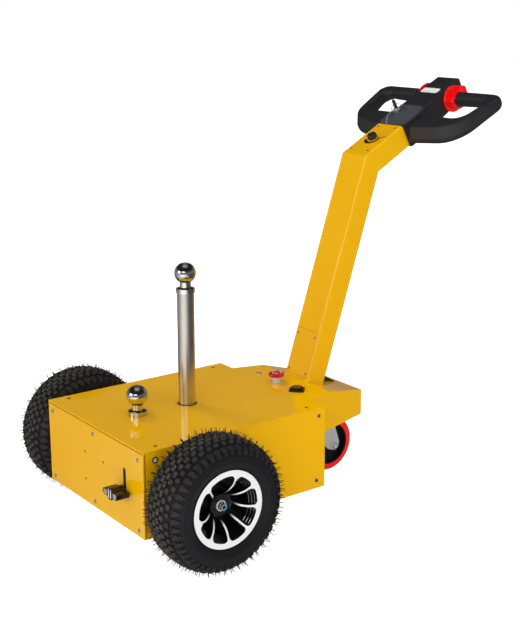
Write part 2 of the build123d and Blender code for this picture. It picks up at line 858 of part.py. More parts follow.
def caster_core():
    """Moulded centre: a bored hub, a web set back from both faces and a broad rim."""
    half = caster_width / 2
    face = half - 1.5
    web = face - caster_rim_recess
    bore = caster_axle_radius + run_clearance
    outline = [
        (bore, -half - 4),
        (16, -half - 4),
        (18, -web),
        (caster_rim_radius - 9, -web),
        (caster_rim_radius - 5, -face),
        (caster_rim_radius, -face),
        (caster_rim_radius, face),
        (caster_rim_radius - 5, face),
        (caster_rim_radius - 9, web),
        (18, web),
        (16, half + 4),
        (bore, half + 4),
    ]
    plane = Plane(origin=(0, caster_y, caster_radius), x_dir=(0, 1, 0), z_dir=(0, 0, 1))
    face = make_face(Polyline(*[(r, -a) for r, a in outline], close=True))
    return revolve(plane * face, Axis((0, caster_y, caster_radius), (1, 0, 0)))


def caster_tyre():
    half = caster_width / 2
    outline = [
        (caster_rim_radius, -half + 1.5),
        (caster_radius - 6, -half),
        (caster_radius, -half + 6),
        (caster_radius, half - 6),
        (caster_radius - 6, half),
        (caster_rim_radius, half - 1.5),
    ]
    plane = Plane(origin=(0, caster_y, caster_radius), x_dir=(0, 1, 0), z_dir=(0, 0, 1))
    face = make_face(Polyline(*[(r, -a) for r, a in outline], close=True))
    return revolve(plane * face, Axis((0, caster_y, caster_radius), (1, 0, 0)))


# ---- drive wheels -------------------------------------------------------------------------------
WHEEL = Plane(origin=(0, 0, 0), x_dir=(0, 1, 0), z_dir=(0, 0, 1))


def spun(points):
    """A closed wheel profile of (radius, sideways) points turned about the X axis."""
    face = make_face(Polyline(*[(radius, -side) for radius, side in points], close=True))
    return revolve(WHEEL * face, Axis.X)


def tyre():
    """The carcass turned about the axle, cut by slots into staggered lugs on crown and shoulders."""
    half = tyre_width / 2
    points = [
        (rim_seat_radius + 0.2, rim_half_width - 9),
        (rim_flange_radius + 3, rim_half_width - 6),
        (rim_flange_radius + 12, half - 4),
        (tyre_radius - 40, half),
        (tyre_radius - 27, half),
        (tyre_radius - 10, half - 12),
        (tyre_radius - 2, half - 28),
        (tyre_radius, half - 42),
    ]
    points += [(radius, -side) for radius, side in reversed(points)]
    return spun(points) - tread_slots()


def tread_slots():
    """Slots from near the middle of the crown down each shoulder, those on one side staggered."""
    half = tyre_width / 2
    floor = tyre_radius - lug_depth
    outline = [
        (5, tyre_radius + 5),
        (5, floor),
        (half - 30, floor),
        (half + 5, tyre_radius - 28),
        (half + 5, tyre_radius + 5),
    ]
    face = make_face(Polyline(*outline, close=True))
    slot = Plane.XZ * extrude(face, lug_gap / 2, both=True)
    slots = []
    pitch = 360 / lug_count
    for index in range(lug_count):
        slots.append(Rot(pitch * (index + 0.5), 0, 0) * slot)
        slots.append(Rot(pitch * index, 0, 0) * mirror(slot, Plane.YZ))
    return slots


# Where each spoke stands, in degrees from the straight spoke: at the ring, midway and at the hub.
straight_spoke = -48.5
spoke_angles = [(43.5, 39, 55), (84, 77, 97), (128, 114, 119)]
ring_radius = rim_flange_radius - ring_width


def spoke_edge(angles, side):
    """One side of a spoke as an arc through its points at the ring, midway and at the hub."""
    radii = (ring_radius, (ring_radius + hub_radius) / 2, hub_radius + 3)
    edge = []
    for angle, radius in zip(angles, radii):
        turn = radians(straight_spoke + angle) + side * spoke_width / 2 / radius
        edge.append((radius * cos(turn), radius * sin(turn)))
    return edge


def spoke_line(edge, angles):
    """The straight spokes have straight sides and the others have arcs."""
    if len(set(angles)) == 1:
        return Line(edge[0], edge[2])
    return ThreePointArc(*edge)


def pocket_cuts():
    """The leaf-shaped pockets between neighbouring spokes, down to the floor of the dish."""
    turns = [(0, 0, 0)] + spoke_angles + [(180, 180, 180)]
    turns += [tuple(360 - angle for angle in row) for row in reversed(spoke_angles)]
    turns += [(360, 360, 360)]
    cuts = []
    for first, second in zip(turns, turns[1:]):
        low = spoke_edge(first, 1)
        high = spoke_edge(second, -1)
        ring_angle = radians(straight_spoke + (first[0] + second[0]) / 2)
        hub_angle = radians(straight_spoke + (first[2] + second[2]) / 2)
        ring_middle = (ring_radius * cos(ring_angle), ring_radius * sin(ring_angle))
        hub_middle = ((hub_radius + 3) * cos(hub_angle), (hub_radius + 3) * sin(hub_angle))
        outline = Curve() + [
            spoke_line(high, second),
            ThreePointArc(high[2], hub_middle, low[2]),
            spoke_line(low[::-1], first),
            ThreePointArc(low[0], ring_middle, high[0]),
        ]
        leaf = make_face(outline)
        corners = leaf.vertices()
        outer = [v for v in corners if v.X**2 + v.Y**2 > (ring_radius - 1) ** 2]
        leaf = fillet(outer, 9)
        inner = [v for v in leaf.vertices() if v.X**2 + v.Y**2 < (hub_radius + 4) ** 2]
        leaf = fillet(inner, 2)
        cuts.append(ACROSS * extrude(leaf, rim_half_width + 5))
    return cuts


def barrel_room():
    """The space inside the rim's barrel, stepped inwards with depth down to the dish floor."""
    half = rim_half_width
    steps = [(1, 4), (-4, 9), (-8, 15), (-12, 22), (-13.7, pocket_depth)]
    outline = [(0, half + 1)]
    above = -1
    for drop, below in steps:
        outline += [(ring_radius + drop, half - above), (ring_radius + drop, half - below)]
        above = below
    outline.append((0, half - pocket_depth))
    return spun(outline)


def rim():
    half = rim_half_width
    profile = [
        (axle_radius + run_clearance, half - hub_recess),
        (hub_radius, half - hub_recess),
        (ring_radius - 5, half),
        (rim_flange_radius, half),
        (rim_flange_radius, half - 5),
        (rim_seat_radius, half - 9),
        (rim_well_radius, half - 24),
        (rim_well_radius, -half + 24),
        (rim_seat_radius, -half + 9),
        (rim_flange_radius, -half + 5),
        (rim_flange_radius, -half),
        (rim_flange_radius - 8, -half),
        (rim_well_radius - 4, -half + 18),
        (rim_well_radius - 4, half - pocket_depth - 5),
        (hub_radius + 8, half - pocket_depth - 5),
        (hub_radius + 8, half - 70),
        (axle_radius + run_clearance, half - 70),
    ]
    wheel = spun(profile)
    room = barrel_room()
    pockets = [leaf & room for leaf in pocket_cuts()]
    return wheel - pockets


hub_face_x = wheel_track / 2 + rim_half_width - hub_recess
nut_seat_x = hub_face_x + 1.5


def axle_shaft():
    shaft = rod_x(shaft_inner + 2, hub_face_x, 0, axle_z, axle_radius)
    return shaft + rod_x(hub_face_x - 1, nut_seat_x + hub_nut_height - 2, 0, axle_z, axle_thread_radius)


def hub_nut():
    """Cup washer over the shaft's shoulder, with a lock nut standing in it."""
    cup = rod_x(hub_face_x, hub_face_x + hub_cup_depth, 0, axle_z, hub_cup_radius)
    cup -= rod_x(nut_seat_x, hub_face_x + 2 * hub_cup_depth, 0, axle_z, hub_nut_radius + 0.6)
    nut = extrude(RegularPolygon(hub_nut_radius, 6), hub_nut_height)
    nut = Pos(nut_seat_x, 0, axle_z) * Rot(0, 90, 0) * nut
    return cup + nut - rod_x(hub_face_x - 1, hub_face_x + 30, 0, axle_z, axle_thread_radius + run_clearance)


def right_wheel(solid):
    return Pos(wheel_track / 2, 0, axle_z) * solid


# ---- all nodes ------------------------------------------------------------------------------------
nodes = {
    "deck_cover": deck_cover(),
    "front_panel": front_panel(),
    "side_panel_left": side_panel(-1),
    "side_panel_right": side_panel(1),
    "rear_panel": rear_panel(),
    "tail_skirt": tail_skirt(),
    "chassis_frame": chassis_frame(),
    "transaxle": transaxle(),
    "drive_motor": drive_motor(),
    "battery_left": battery(-1),
    "battery_right": battery(1),
    "low_ball": low_ball(),
    "low_ball_nut": stem_nut(),
    "hitch_post": hitch_post(),
    "post_socket": post_socket(),
    "post_ball": post_ball(),
    "estop_base": estop_base(),
    "estop_button": estop_button(),
    "status_lamp": status_lamp(),
    "charge_socket": charge_socket(),
    "charge_cap": charge_cap(),
    "release_stud": release_stud(),
    "release_knob": release_knob(),
    "tiller_arm": tiller_arm(),
    "tiller_cover": tiller_cover(),
    "neck_plate": neck_plate(),
    "speed_knob": speed_knob(),
    "handle_body": handle_body(),
    "thumb_wheel_left": thumb_wheel(-1),
    "thumb_wheel_right": thumb_wheel(1),
    "key_switch": key_switch(),
    "ignition_key": ignition_key(),
    "key_ring": key_ring(),
    "spare_key_one": spare_key(112, (0.95, 0.22, -0.2)),
    "spare_key_two": spare_key(-120, (0.6, -0.78, -0.12)),
    "key_tether": key_tether(),
    "label_plate": label_plate(),
    "cable_gland": cable_gland(),
    "caster_plate": caster_plate(),
    "caster_fork": caster_fork(),
    "caster_axle": caster_axle(),
    "caster_core": caster_core(),
    "caster_tyre": caster_tyre(),
}

right_pieces = {
    "tyre": right_wheel(tyre()),
    "rim": right_wheel(rim()),
    "axle_shaft": axle_shaft(),
    "hub_nut": hub_nut(),
}
for name, solid in right_pieces.items():
    nodes[name + "_right"] = solid
    nodes[name + "_left"] = mirror(solid, Plane.YZ)

os.makedirs("parts", exist_ok=True)
for name, solid in nodes.items():
    export_step(Pos(0, -middle_y, 0) * solid, "parts/" + name + ".step")
    box = solid.bounding_box()
    spans = (box.min.Y, box.max.Y, box.min.Z, box.max.Z)
    print(name, len(solid.solids()), "Y %.1f..%.1f Z %.1f..%.1f" % spans)
print("middle_y %.4f front %.2f rear %.2f" % (middle_y, front_reach, rear_reach))
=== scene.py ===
import bmesh
import bpy
import json
import math
import numpy as np
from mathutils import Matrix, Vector


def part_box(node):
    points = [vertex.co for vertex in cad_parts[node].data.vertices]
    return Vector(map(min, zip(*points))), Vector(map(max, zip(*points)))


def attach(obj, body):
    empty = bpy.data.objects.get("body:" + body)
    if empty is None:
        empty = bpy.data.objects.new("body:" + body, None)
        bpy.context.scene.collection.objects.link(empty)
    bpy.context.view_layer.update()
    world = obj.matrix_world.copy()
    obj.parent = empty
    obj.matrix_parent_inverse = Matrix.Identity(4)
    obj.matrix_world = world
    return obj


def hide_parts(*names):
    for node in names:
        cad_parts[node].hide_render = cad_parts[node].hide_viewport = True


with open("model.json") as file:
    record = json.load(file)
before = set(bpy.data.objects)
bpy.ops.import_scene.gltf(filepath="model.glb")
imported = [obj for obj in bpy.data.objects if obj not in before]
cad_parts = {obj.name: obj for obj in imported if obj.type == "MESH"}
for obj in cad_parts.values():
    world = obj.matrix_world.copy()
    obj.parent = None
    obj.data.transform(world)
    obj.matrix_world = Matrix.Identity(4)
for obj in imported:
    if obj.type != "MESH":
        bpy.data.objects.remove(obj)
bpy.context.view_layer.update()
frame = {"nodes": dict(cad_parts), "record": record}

MM = 0.001
side_names = {-1: "left", 1: "right"}


def spans(node):
    """The low and high corner of a CAD node, in metres."""
    low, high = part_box(node)
    return np.array(low), np.array(high)


rim_low, rim_high = spans("rim_right")
axle_y, axle_z = (0.5 * (rim_low + rim_high))[1:]
front_low = spans("front_panel")[0]
deck_high = spans("deck_cover")[1]
tyre_low, tyre_high = spans("tyre_right")
tyre_middle = 0.5 * (tyre_low[0] + tyre_high[0])


# ---- camera: a long lens ahead of the tug and to its right, looking down a little -----------
camera_dip, camera_turn = 15.14, 53.39
camera_data = bpy.data.cameras.new("three-quarter camera")
camera_data.lens = 67.01
camera_data.sensor_width = 36
camera = bpy.data.objects.new("three-quarter camera", camera_data)
bpy.context.collection.objects.link(camera)
camera.location = (2.2592, axle_y - 1.3377, 1.2004)
camera.rotation_euler = (math.radians(90 - camera_dip), 0, math.radians(camera_turn))
bpy.context.scene.camera = camera


# ---- places on the handle head, on the column and from the floor ----------------------------
def tipped_axes(climb, run):
    """The three directions of a sloping face as rows: across it, up a slope that climbs so far
    over a run, and square out of it."""
    slope = math.atan2(climb, run)
    return np.array([
        (1.0, 0.0, 0.0),
        (0.0, math.cos(slope), math.sin(slope)),
        (0.0, -math.sin(slope), math.cos(slope)),
    ])


head_origin = np.array([0.0, axle_y + 0.7525, 0.8880])
head_axes = tipped_axes(0.0660, 0.1195)
column_origin = np.array([0.0, axle_y + 0.45332, 0.26894])
column_axes = tipped_axes(0.5525, 0.1795)


def on_head(points):
    """Millimetres across the console's top, along it and above it, turned to places in metres."""
    return head_origin + (np.asarray(points, float) * MM) @ head_axes


def on_column(points):
    """Millimetres across the column's face, up it and out of it, turned to places in metres."""
    return column_origin + (np.asarray(points, float) * MM) @ column_axes


def on_floor(points):
    """Millimetres across, back from the drive axle and up from the floor, turned to metres."""
    return np.asarray(points, float) * MM + [0, axle_y, 0]


# ---- key tether: a thin wire rope from the neck plate's lug to the crimp on the key ring ----
tether_route = [
    (-8.31, -6.86, 1.6),
    (-12.5, 0.0, 1.6),
    (-23.5, 13.0, 1.9),
    (-33.0, 26.0, 4.2),
    (-37.6, 36.6, 6.4),
    (-34.993, 43.463, 7.034),
]
tether_diameter = 1.5 * MM
tether_curve = bpy.data.curves.new("key_tether_rope", "CURVE")
tether_curve.dimensions = "3D"
# The rope's radius is the bevel's depth times each point's own radius, half of the diameter.
tether_curve.bevel_depth = 0.5
tether_curve.bevel_resolution = 3
tether_curve.resolution_u = 16
tether_spline = tether_curve.splines.new("NURBS")
tether_spline.points.add(len(tether_route) - 1)
for point, place in zip(tether_spline.points, on_head(tether_route)):
    point.co = (*place, 1.0)
    point.radius = tether_diameter
tether_spline.order_u = 3
tether_spline.use_endpoint_u = True
tether = bpy.data.objects.new("key_tether_rope", tether_curve)
bpy.context.collection.objects.link(tether)
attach(tether, "body")
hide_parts("key_tether")


# ---- materials ----------------------------------------------------------------------------
def srgb(code):
    """A hex colour as shown on a screen, turned to the linear values that shaders use."""
    channels = [int(code[i:i + 2], 16) / 255 for i in (1, 3, 5)]
    return [c / 12.92 if c <= 0.04045 else ((c + 0.055) / 1.055) ** 2.4 for c in channels] + [1.0]


def add(tree, kind, inputs, **settings):
    """Adds one node: settings are its own switches, and inputs are values or sockets to link."""
    node = tree.nodes.new(kind)
    for key, value in settings.items():
        setattr(node, key, value)
    for key, value in inputs.items():
        if isinstance(value, bpy.types.NodeSocket):
            tree.links.new(value, node.inputs[key])
        else:
            node.inputs[key].default_value = value
    return node


def start(name, **values):
    """A new material with its Principled shader set, and its Object coordinates ready to use."""
    mat = bpy.data.materials.new(name)
    mat.use_nodes = True
    tree = mat.node_tree
    shader = tree.nodes["Principled BSDF"]
    for key, value in values.items():
        shader.inputs[key.replace("_", " ")].default_value = value
    where = add(tree, "ShaderNodeTexCoord", {}).outputs["Object"]
    return mat, tree, shader, where


def link(tree, shader, **sockets):
    """Links each socket to the shader's input of that name, with its spaces as underscores."""
    for key, socket in sockets.items():
        tree.links.new(socket, shader.inputs[key.replace("_", " ")])


def yellow_powder_coat():
    # Gloss polyester powder coat on sheet steel: a smooth, mirror-like yellow skin whose
    # reflections are broken only by a faint orange peel, a few millimetres across.
    mat, tree, shader, where = start(
        "gloss yellow powder coat", Roughness=0.1, Coat_Weight=0.25, Coat_Roughness=0.02,
    )
    blotch = add(tree, "ShaderNodeTexNoise", {"Vector": where, "Scale": 4.0, "Detail": 3.0})
    shades = {6: srgb("#EFB000"), 7: srgb("#F6BC02")}
    tone = add(tree, "ShaderNodeMix", {0: blotch.outputs[0], **shades}, data_type="RGBA")
    peel = add(tree, "ShaderNodeTexNoise", {"Vector": where, "Scale": 1 / (3.5 * MM), "Detail": 1.0})
    bump = add(tree, "ShaderNodeBump", {"Height": peel.outputs[0], "Strength": 0.03, "Distance": 0.3 * MM})
    link(tree, shader, Base_Color=tone.outputs[2], Normal=bump.outputs[0])
    return mat


def drawn_steel():
    # Bright drawn steel tube, oiled and handled: a warm grey metal with fine lengthwise
    # draw marks, about half a millimetre apart, that stretch its highlights.
    mat, tree, shader, where = start("drawn steel tube", Metallic=1.0)
    close = 1 / (0.6 * MM)
    squeeze = add(tree, "ShaderNodeMapping", {"Vector": where, "Scale": (close, close, 6.0)})
    marks = add(tree, "ShaderNodeTexNoise", {"Vector": squeeze.outputs[0], "Scale": 1.0, "Detail": 2.0})
    stain = add(tree, "ShaderNodeTexNoise", {"Vector": where, "Scale": 18.0, "Detail": 4.0})
    rough = add(tree, "ShaderNodeMapRange", {"Value": stain.outputs[0], "To Min": 0.24, "To Max": 0.34})
    shades = {6: srgb("#C3BCB2"), 7: srgb("#DCD7D0")}
    tone = add(tree, "ShaderNodeMix", {0: stain.outputs[0], **shades}, data_type="RGBA")
    bump = add(tree, "ShaderNodeBump", {"Height": marks.outputs[0], "Strength": 0.08, "Distance": 0.04 * MM})
    link(tree, shader, Base_Color=tone.outputs[2], Roughness=rough.outputs[0], Normal=bump.outputs[0])
    return mat


def chrome_plate():
    # Bright chrome over polished steel: a near-perfect mirror with the faintest haze.
    mat, tree, shader, where = start("bright chrome", Metallic=1.0, Base_Color=srgb("#D2D0CC"))
    haze = add(tree, "ShaderNodeTexNoise", {"Vector": where, "Scale": 40.0, "Detail": 3.0})
    rough = add(tree, "ShaderNodeMapRange", {"Value": haze.outputs[0], "To Min": 0.03, "To Max": 0.08})
    link(tree, shader, Roughness=rough.outputs[0])
    return mat


def zinc_plate():
    # Bright zinc-plated pressed steel: pale bluish metal with cloudy patches 5 to 10 mm wide.
    # Its passivated skin scatters light, so it is set between a metal and a pale paint.
    mat, tree, shader, where = start("bright zinc plate", Metallic=0.45)
    cloud = add(tree, "ShaderNodeTexNoise", {"Vector": where, "Scale": 1 / (10 * MM), "Detail": 2.0})
    rough = add(tree, "ShaderNodeMapRange", {"Value": cloud.outputs[0], "To Min": 0.25, "To Max": 0.35})
    shades = {6: srgb("#CCD3D8"), 7: srgb("#E6EAEC")}
    tone = add(tree, "ShaderNodeMix", {0: cloud.outputs[0], **shades}, data_type="RGBA")
    link(tree, shader, Base_Color=tone.outputs[2], Roughness=rough.outputs[0])
    return mat


def cast_wheel():
    # A cast aluminium wheel painted gloss black all over, with its ring and the faces of its
    # spokes then turned bright. The turned faces show white, with painted shade that darkens them
    # towards the recessed hub. They lie on a cone: the faces are bright where they are within the
    # skin's depth of that cone and look out of the wheel.
    face_foot, face_rim, face_drop = 0.024, 0.0707, 0.031
    skin_depth, least_outward = 0.0004, 0.7
    mat, tree, shader, where = start("diamond-turned cast wheel", Coat_Weight=0.3, Coat_Roughness=0.08)
    axes = add(tree, "ShaderNodeSeparateXYZ", {0: where})
    side = add(tree, "ShaderNodeMath", {0: axes.outputs[0]}, operation="ABSOLUTE")
    level = add(tree, "ShaderNodeVectorMath", {0: where, 1: (0.0, axle_y, axle_z)}, operation="SUBTRACT")
    flat = add(tree, "ShaderNodeVectorMath", {0: level.outputs[0], 1: (0.0, 1.0, 1.0)}, operation="MULTIPLY")
    reach = add(tree, "ShaderNodeVectorMath", {0: flat.outputs[0]}, operation="LENGTH")
    cone = add(
        tree, "ShaderNodeMapRange",
        {"Value": reach.outputs["Value"], "From Min": face_foot, "From Max": face_rim,
         "To Min": rim_high[0] - face_drop, "To Max": rim_high[0]},
    )
    above = add(tree, "ShaderNodeMath", {0: side.outputs[0], 1: cone.outputs[0]}, operation="SUBTRACT")
    skin = add(tree, "ShaderNodeMath", {0: above.outputs[0], 1: -skin_depth}, operation="GREATER_THAN")
    shape = add(tree, "ShaderNodeNewGeometry", {})
    facing = add(tree, "ShaderNodeSeparateXYZ", {0: shape.outputs["True Normal"]})
    out = add(tree, "ShaderNodeMath", {0: facing.outputs[0]}, operation="ABSOLUTE")
    front = add(tree, "ShaderNodeMath", {0: out.outputs[0], 1: least_outward}, operation="GREATER_THAN")
    turned = add(tree, "ShaderNodeMath", {0: skin.outputs[0], 1: front.outputs[0]}, operation="MULTIPLY")
    # Painted shade: the turned faces go smoothly to black from 47 to 30 mm out, in the recessed hub.
    painted_hub_shade = add(
        tree, "ShaderNodeMapRange",
        {"Value": reach.outputs["Value"], "From Min": 0.030, "From Max": 0.047},
        interpolation_type="SMOOTHSTEP",
    )
    bright = add(tree, "ShaderNodeMath", {0: turned.outputs[0], 1: painted_hub_shade.outputs[0]}, operation="MULTIPLY")
    shades = {6: srgb("#08080A"), 7: srgb("#F2F2F0")}
    tone = add(tree, "ShaderNodeMix", {0: bright.outputs[0], **shades}, data_type="RGBA")
    rough = add(tree, "ShaderNodeMapRange", {"Value": bright.outputs[0], "To Min": 0.2, "To Max": 0.42})
    grain = add(tree, "ShaderNodeTexNoise", {"Vector": where, "Scale": 1 / (2 * MM), "Detail": 2.0})
    bump = add(tree, "ShaderNodeBump", {"Height": grain.outputs[0], "Strength": 0.05, "Distance": 0.2 * MM})
    link(tree, shader, Base_Color=tone.outputs[2], Roughness=rough.outputs[0], Normal=bump.outputs[0])
    return mat


def tyre_rubber():
    # New carbon-black tyre rubber: a near-black, smoother carcass and sidewall, a dusty warm
    # bloom on top of the blocks, and fine moulding grain under a millimetre across.
    mat, tree, shader, where = start("tyre rubber", Specular_IOR_Level=0.35)
    top = add(tree, "ShaderNodeAttribute", {}, attribute_name="block_top").outputs["Fac"]
    dust = add(tree, "ShaderNodeTexNoise", {"Vector": where, "Scale": 1 / (12 * MM), "Detail": 4.0})
    bloom = add(tree, "ShaderNodeMath", {0: top, 1: dust.outputs[0]}, operation="MULTIPLY")
    shades = {6: srgb("#18181C"), 7: srgb("#6A6152")}
    tone = add(tree, "ShaderNodeMix", {0: bloom.outputs[0], **shades}, data_type="RGBA")
    rough = add(tree, "ShaderNodeMapRange", {"Value": top, "To Min": 0.46, "To Max": 0.62})
    grain = add(tree, "ShaderNodeTexNoise", {"Vector": where, "Scale": 1 / (0.9 * MM), "Detail": 3.0})
    bump = add(tree, "ShaderNodeBump", {"Height": grain.outputs[0], "Strength": 0.2, "Distance": 0.2 * MM})
    link(tree, shader, Base_Color=tone.outputs[2], Roughness=rough.outputs[0], Normal=bump.outputs[0])
    return mat


def moulded_black(name, colour, pale, rough, peak):
    # Black plastics and enamels, mostly glass-filled nylon from a spark-eroded mould: a soft
    # sheen broken by fine, even grain about a millimetre across, drawn a little coarser than
    # real so that it shows.
    mat, tree, shader, where = start(name, Specular_IOR_Level=0.5)
    cloud = add(tree, "ShaderNodeTexNoise", {"Vector": where, "Scale": 22.0, "Detail": 3.0})
    shades = {6: srgb(colour), 7: srgb(pale)}
    tone = add(tree, "ShaderNodeMix", {0: cloud.outputs[0], **shades}, data_type="RGBA")
    sheen = {"To Min": rough, "To Max": rough + 0.1}
    shine = add(tree, "ShaderNodeMapRange", {"Value": cloud.outputs[0], **sheen})
    grain = add(tree, "ShaderNodeTexVoronoi", {"Vector": where, "Scale": 1 / (1.1 * MM)})
    bump = add(tree, "ShaderNodeBump", {"Height": grain.outputs[0], "Strength": peak, "Distance": 0.15 * MM})
    link(tree, shader, Base_Color=tone.outputs[2], Roughness=shine.outputs[0], Normal=bump.outputs[0])
    return mat


def gloss_plastic(name, deep, light, rough):
    # Gloss moulded thermoplastic: one strong colour, a clear shine and slight flow marks.
    mat, tree, shader, where = start(name, Coat_Weight=0.4, Coat_Roughness=0.06)
    flow = add(tree, "ShaderNodeTexNoise", {"Vector": where, "Scale": 30.0, "Detail": 2.0})
    shades = {6: srgb(deep), 7: srgb(light)}
    tone = add(tree, "ShaderNodeMix", {0: flow.outputs[0], **shades}, data_type="RGBA")
    sheen = {"To Min": rough, "To Max": rough + 0.08}
    shine = add(tree, "ShaderNodeMapRange", {"Value": flow.outputs[0], **sheen})
    link(tree, shader, Base_Color=tone.outputs[2], Roughness=shine.outputs[0])
    return mat


def printed_ink():
    # Screen-printed black ink on the paint: dead flat and a little uneven at its edges.
    mat, tree, shader, where = start("screen-printed ink", Roughness=0.6)
    speck = add(tree, "ShaderNodeTexNoise", {"Vector": where, "Scale": 1 / (1.5 * MM)})
    shades = {6: srgb("#0E0C08"), 7: srgb("#1C1810")}
    tone = add(tree, "ShaderNodeMix", {0: speck.outputs[0], **shades}, data_type="RGBA")
    link(tree, shader, Base_Color=tone.outputs[2])
    return mat


def seam_shade():
    # The shadowed gap between two powder-coated sheets: dull, dark amber.
    mat, tree, shader, where = start("sheet seam", Roughness=0.9, Specular_IOR_Level=0.0)
    speck = add(tree, "ShaderNodeTexNoise", {"Vector": where, "Scale": 60.0})
    shades = {6: srgb("#8E4600"), 7: srgb("#A85804")}
    tone = add(tree, "ShaderNodeMix", {0: speck.outputs[0], **shades}, data_type="RGBA")
    link(tree, shader, Base_Color=tone.outputs[2])
    return mat


finish = {
    "yellow_powder_coat": yellow_powder_coat(),
    "bare_steel": drawn_steel(),
    "chrome_plate": chrome_plate(),
    "zinc_plate": zinc_plate(),
    "cast_aluminium": cast_wheel(),
    "tyre_rubber": tyre_rubber(),
    "black_plastic": moulded_black("glass-filled nylon", "#1D1D20", "#2E2E33", 0.42, 0.1),
    "red_plastic": gloss_plastic("gloss red plastic", "#F80608", "#FF1411", 0.2),
    "red_polyurethane": gloss_plastic("cast red polyurethane", "#F00A0E", "#FF1212", 0.28),
    "white_plastic": gloss_plastic("white label film", "#FAF8F2", "#FFFFFF", 0.35),
    "battery_case": moulded_black("battery polypropylene", "#151518", "#242428", 0.45, 0.05),
    "dark_machinery": moulded_black("machinery enamel", "#101012", "#1E1E22", 0.4, 0.03),
    "lamp_lens": gloss_plastic("pink lamp lens", "#C04060", "#F0A0B4", 0.1),
    "ink": printed_ink(),
    "seam": seam_shade(),
    "blue_nylon": gloss_plastic("blue nylon insert", "#3E9CC4", "#7CC4E0", 0.3),
    "stop_red": gloss_plastic("dark red acrylic", "#B00408", "#C80A10", 0.14),
    # Black for the knobs, cap and caster core, and painted shade in the hub's gap and on the axle's end
    "gloss_black": moulded_black("polished bakelite", "#0B0A0A", "#141212", 0.12, 0.02),
    # The console inlay's black, lightened as painted sheen
    "panel_black": moulded_black("fine-grained nylon inlay", "#3E4046", "#54565C", 0.36, 0.05),
    # White for the stop button's printed arrows, and painted highlight on the knob's bars and the hub rings
    "rubbed_white": gloss_plastic("white enamel fill", "#D8D8D6", "#F4F4F2", 0.25),
}
slot_of = {part["node"]: part["material_slot"] for part in frame["record"]["subparts"]}
own_finish = {
    "release_knob": "gloss_black", "charge_cap": "gloss_black", "caster_core": "gloss_black",
    "estop_button": "stop_red", "hub_nut_right": "chrome_plate", "hub_nut_left": "chrome_plate",
}
for name, node in frame["nodes"].items():
    node.data.materials.clear()
    node.data.materials.append(finish[own_finish.get(name, slot_of[name])])
tether_curve.materials.append(finish["zinc_plate"])


# ---- making pieces ------------------------------------------------------------------------
def grid_faces(rows, columns, close_rows=False, close_columns=False):
    """Four-sided faces joining each point of a rows by columns grid to its next neighbours."""
    i = np.arange(rows if close_rows else rows - 1)[:, None]
    j = np.arange(columns if close_columns else columns - 1)[None, :]
    i2, j2 = (i + 1) % rows, (j + 1) % columns
    corners = [i * columns + j, i2 * columns + j, i2 * columns + j2, i * columns + j2]
    return np.stack(np.broadcast_arrays(*corners), -1).reshape(-1, 4)


def bar_faces(rows):
    """Faces of a four-sided bar: rows of four points joined on, and one face that closes each end."""
    first = np.arange(4)
    return np.vstack([grid_faces(rows, 4, close_columns=True), [first, 4 * rows - 1 - first]])


def joined(shapes):
    """Several (points, faces) shapes as one."""
    counts = np.cumsum([0] + [len(points) for points, _ in shapes])
    points = np.concatenate([np.reshape(points, (-1, 3)) for points, _ in shapes])
    return points, np.concatenate([faces + c for (_, faces), c in zip(shapes, counts)])


def piece(name, points, faces, body, slot, material=None, crease=38, block_top=None):
    """Puts points and faces into a mesh that rides on a body with a slot's finish: its poles are
    merged, its normals turned outwards, and it is smooth but for edges sharper than the crease.
    A number per point, 1 on the blocks' tops and 0 below them, may mark where dust gathers."""
    mesh = bpy.data.meshes.new(name)
    mesh.from_pydata(np.reshape(points, (-1, 3)).tolist(), [], np.asarray(faces).tolist())
    if block_top is not None:
        mesh.attributes.new("block_top", "FLOAT", "POINT").data.foreach_set("value", block_top)
    shell = bmesh.new()
    shell.from_mesh(mesh)
    bmesh.ops.remove_doubles(shell, verts=shell.verts[:], dist=0.001 * MM)
    bmesh.ops.recalc_face_normals(shell, faces=shell.faces[:])
    shell.to_mesh(mesh)
    shell.free()
    mesh.shade_smooth()
    mesh.set_sharp_from_angle(angle=math.radians(crease))
    obj = bpy.data.objects.new(name, mesh)
    bpy.context.collection.objects.link(obj)
    mesh.materials.append(finish[material or slot])
    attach(obj, body)
    return obj


def copies(points, faces, places, turns):
    """Repeats one small shape: each copy is the points turned by a matrix and moved to a place."""
    moved = np.einsum("nij,kj->nki", turns, points) + np.asarray(places)[:, None, :]
    steps = np.arange(len(places))[:, None, None] * len(points)
    return moved.reshape(-1, 3), (faces[None] + steps).reshape(-1, faces.shape[1])


def lathe(profile, sides, flute=0.0, count=0):
    """Turns (radius, height) pairs about Z: each point at angle t is (r cos t, r sin t, h). Flutes
    draw the radius in by flute times r times |sin(count t / 2)|, and the last point joins the first."""
    profile = np.asarray(profile, float)
    t = np.linspace(0, 2 * np.pi, sides, endpoint=False)[:, None]
    r, h = profile[:, 0][None], profile[:, 1][None]
    r = r * (1 - flute * np.abs(np.sin(0.5 * count * t)))
    points = np.stack([r * np.cos(t), r * np.sin(t), h + 0 * t], -1)
    return points.reshape(-1, 3), grid_faces(sides, len(profile), close_rows=True, close_columns=True)


def axis_turns(directions):
    """Matrices that carry Z onto each direction: their columns are that direction and two square
    to it, the first of them also square to Z, or to X where the direction is near Z."""
    n = np.asarray(directions, float)
    n = n / np.linalg.norm(n, axis=1, keepdims=True)
    helper = np.where(np.abs(n[:, 2:3]) > 0.9, [[1.0, 0, 0]], [[0, 0, 1.0]])
    u = np.cross(helper, n)
    u = u / np.linalg.norm(u, axis=1, keepdims=True)
    return np.stack([u, np.cross(n, u), n], -1)


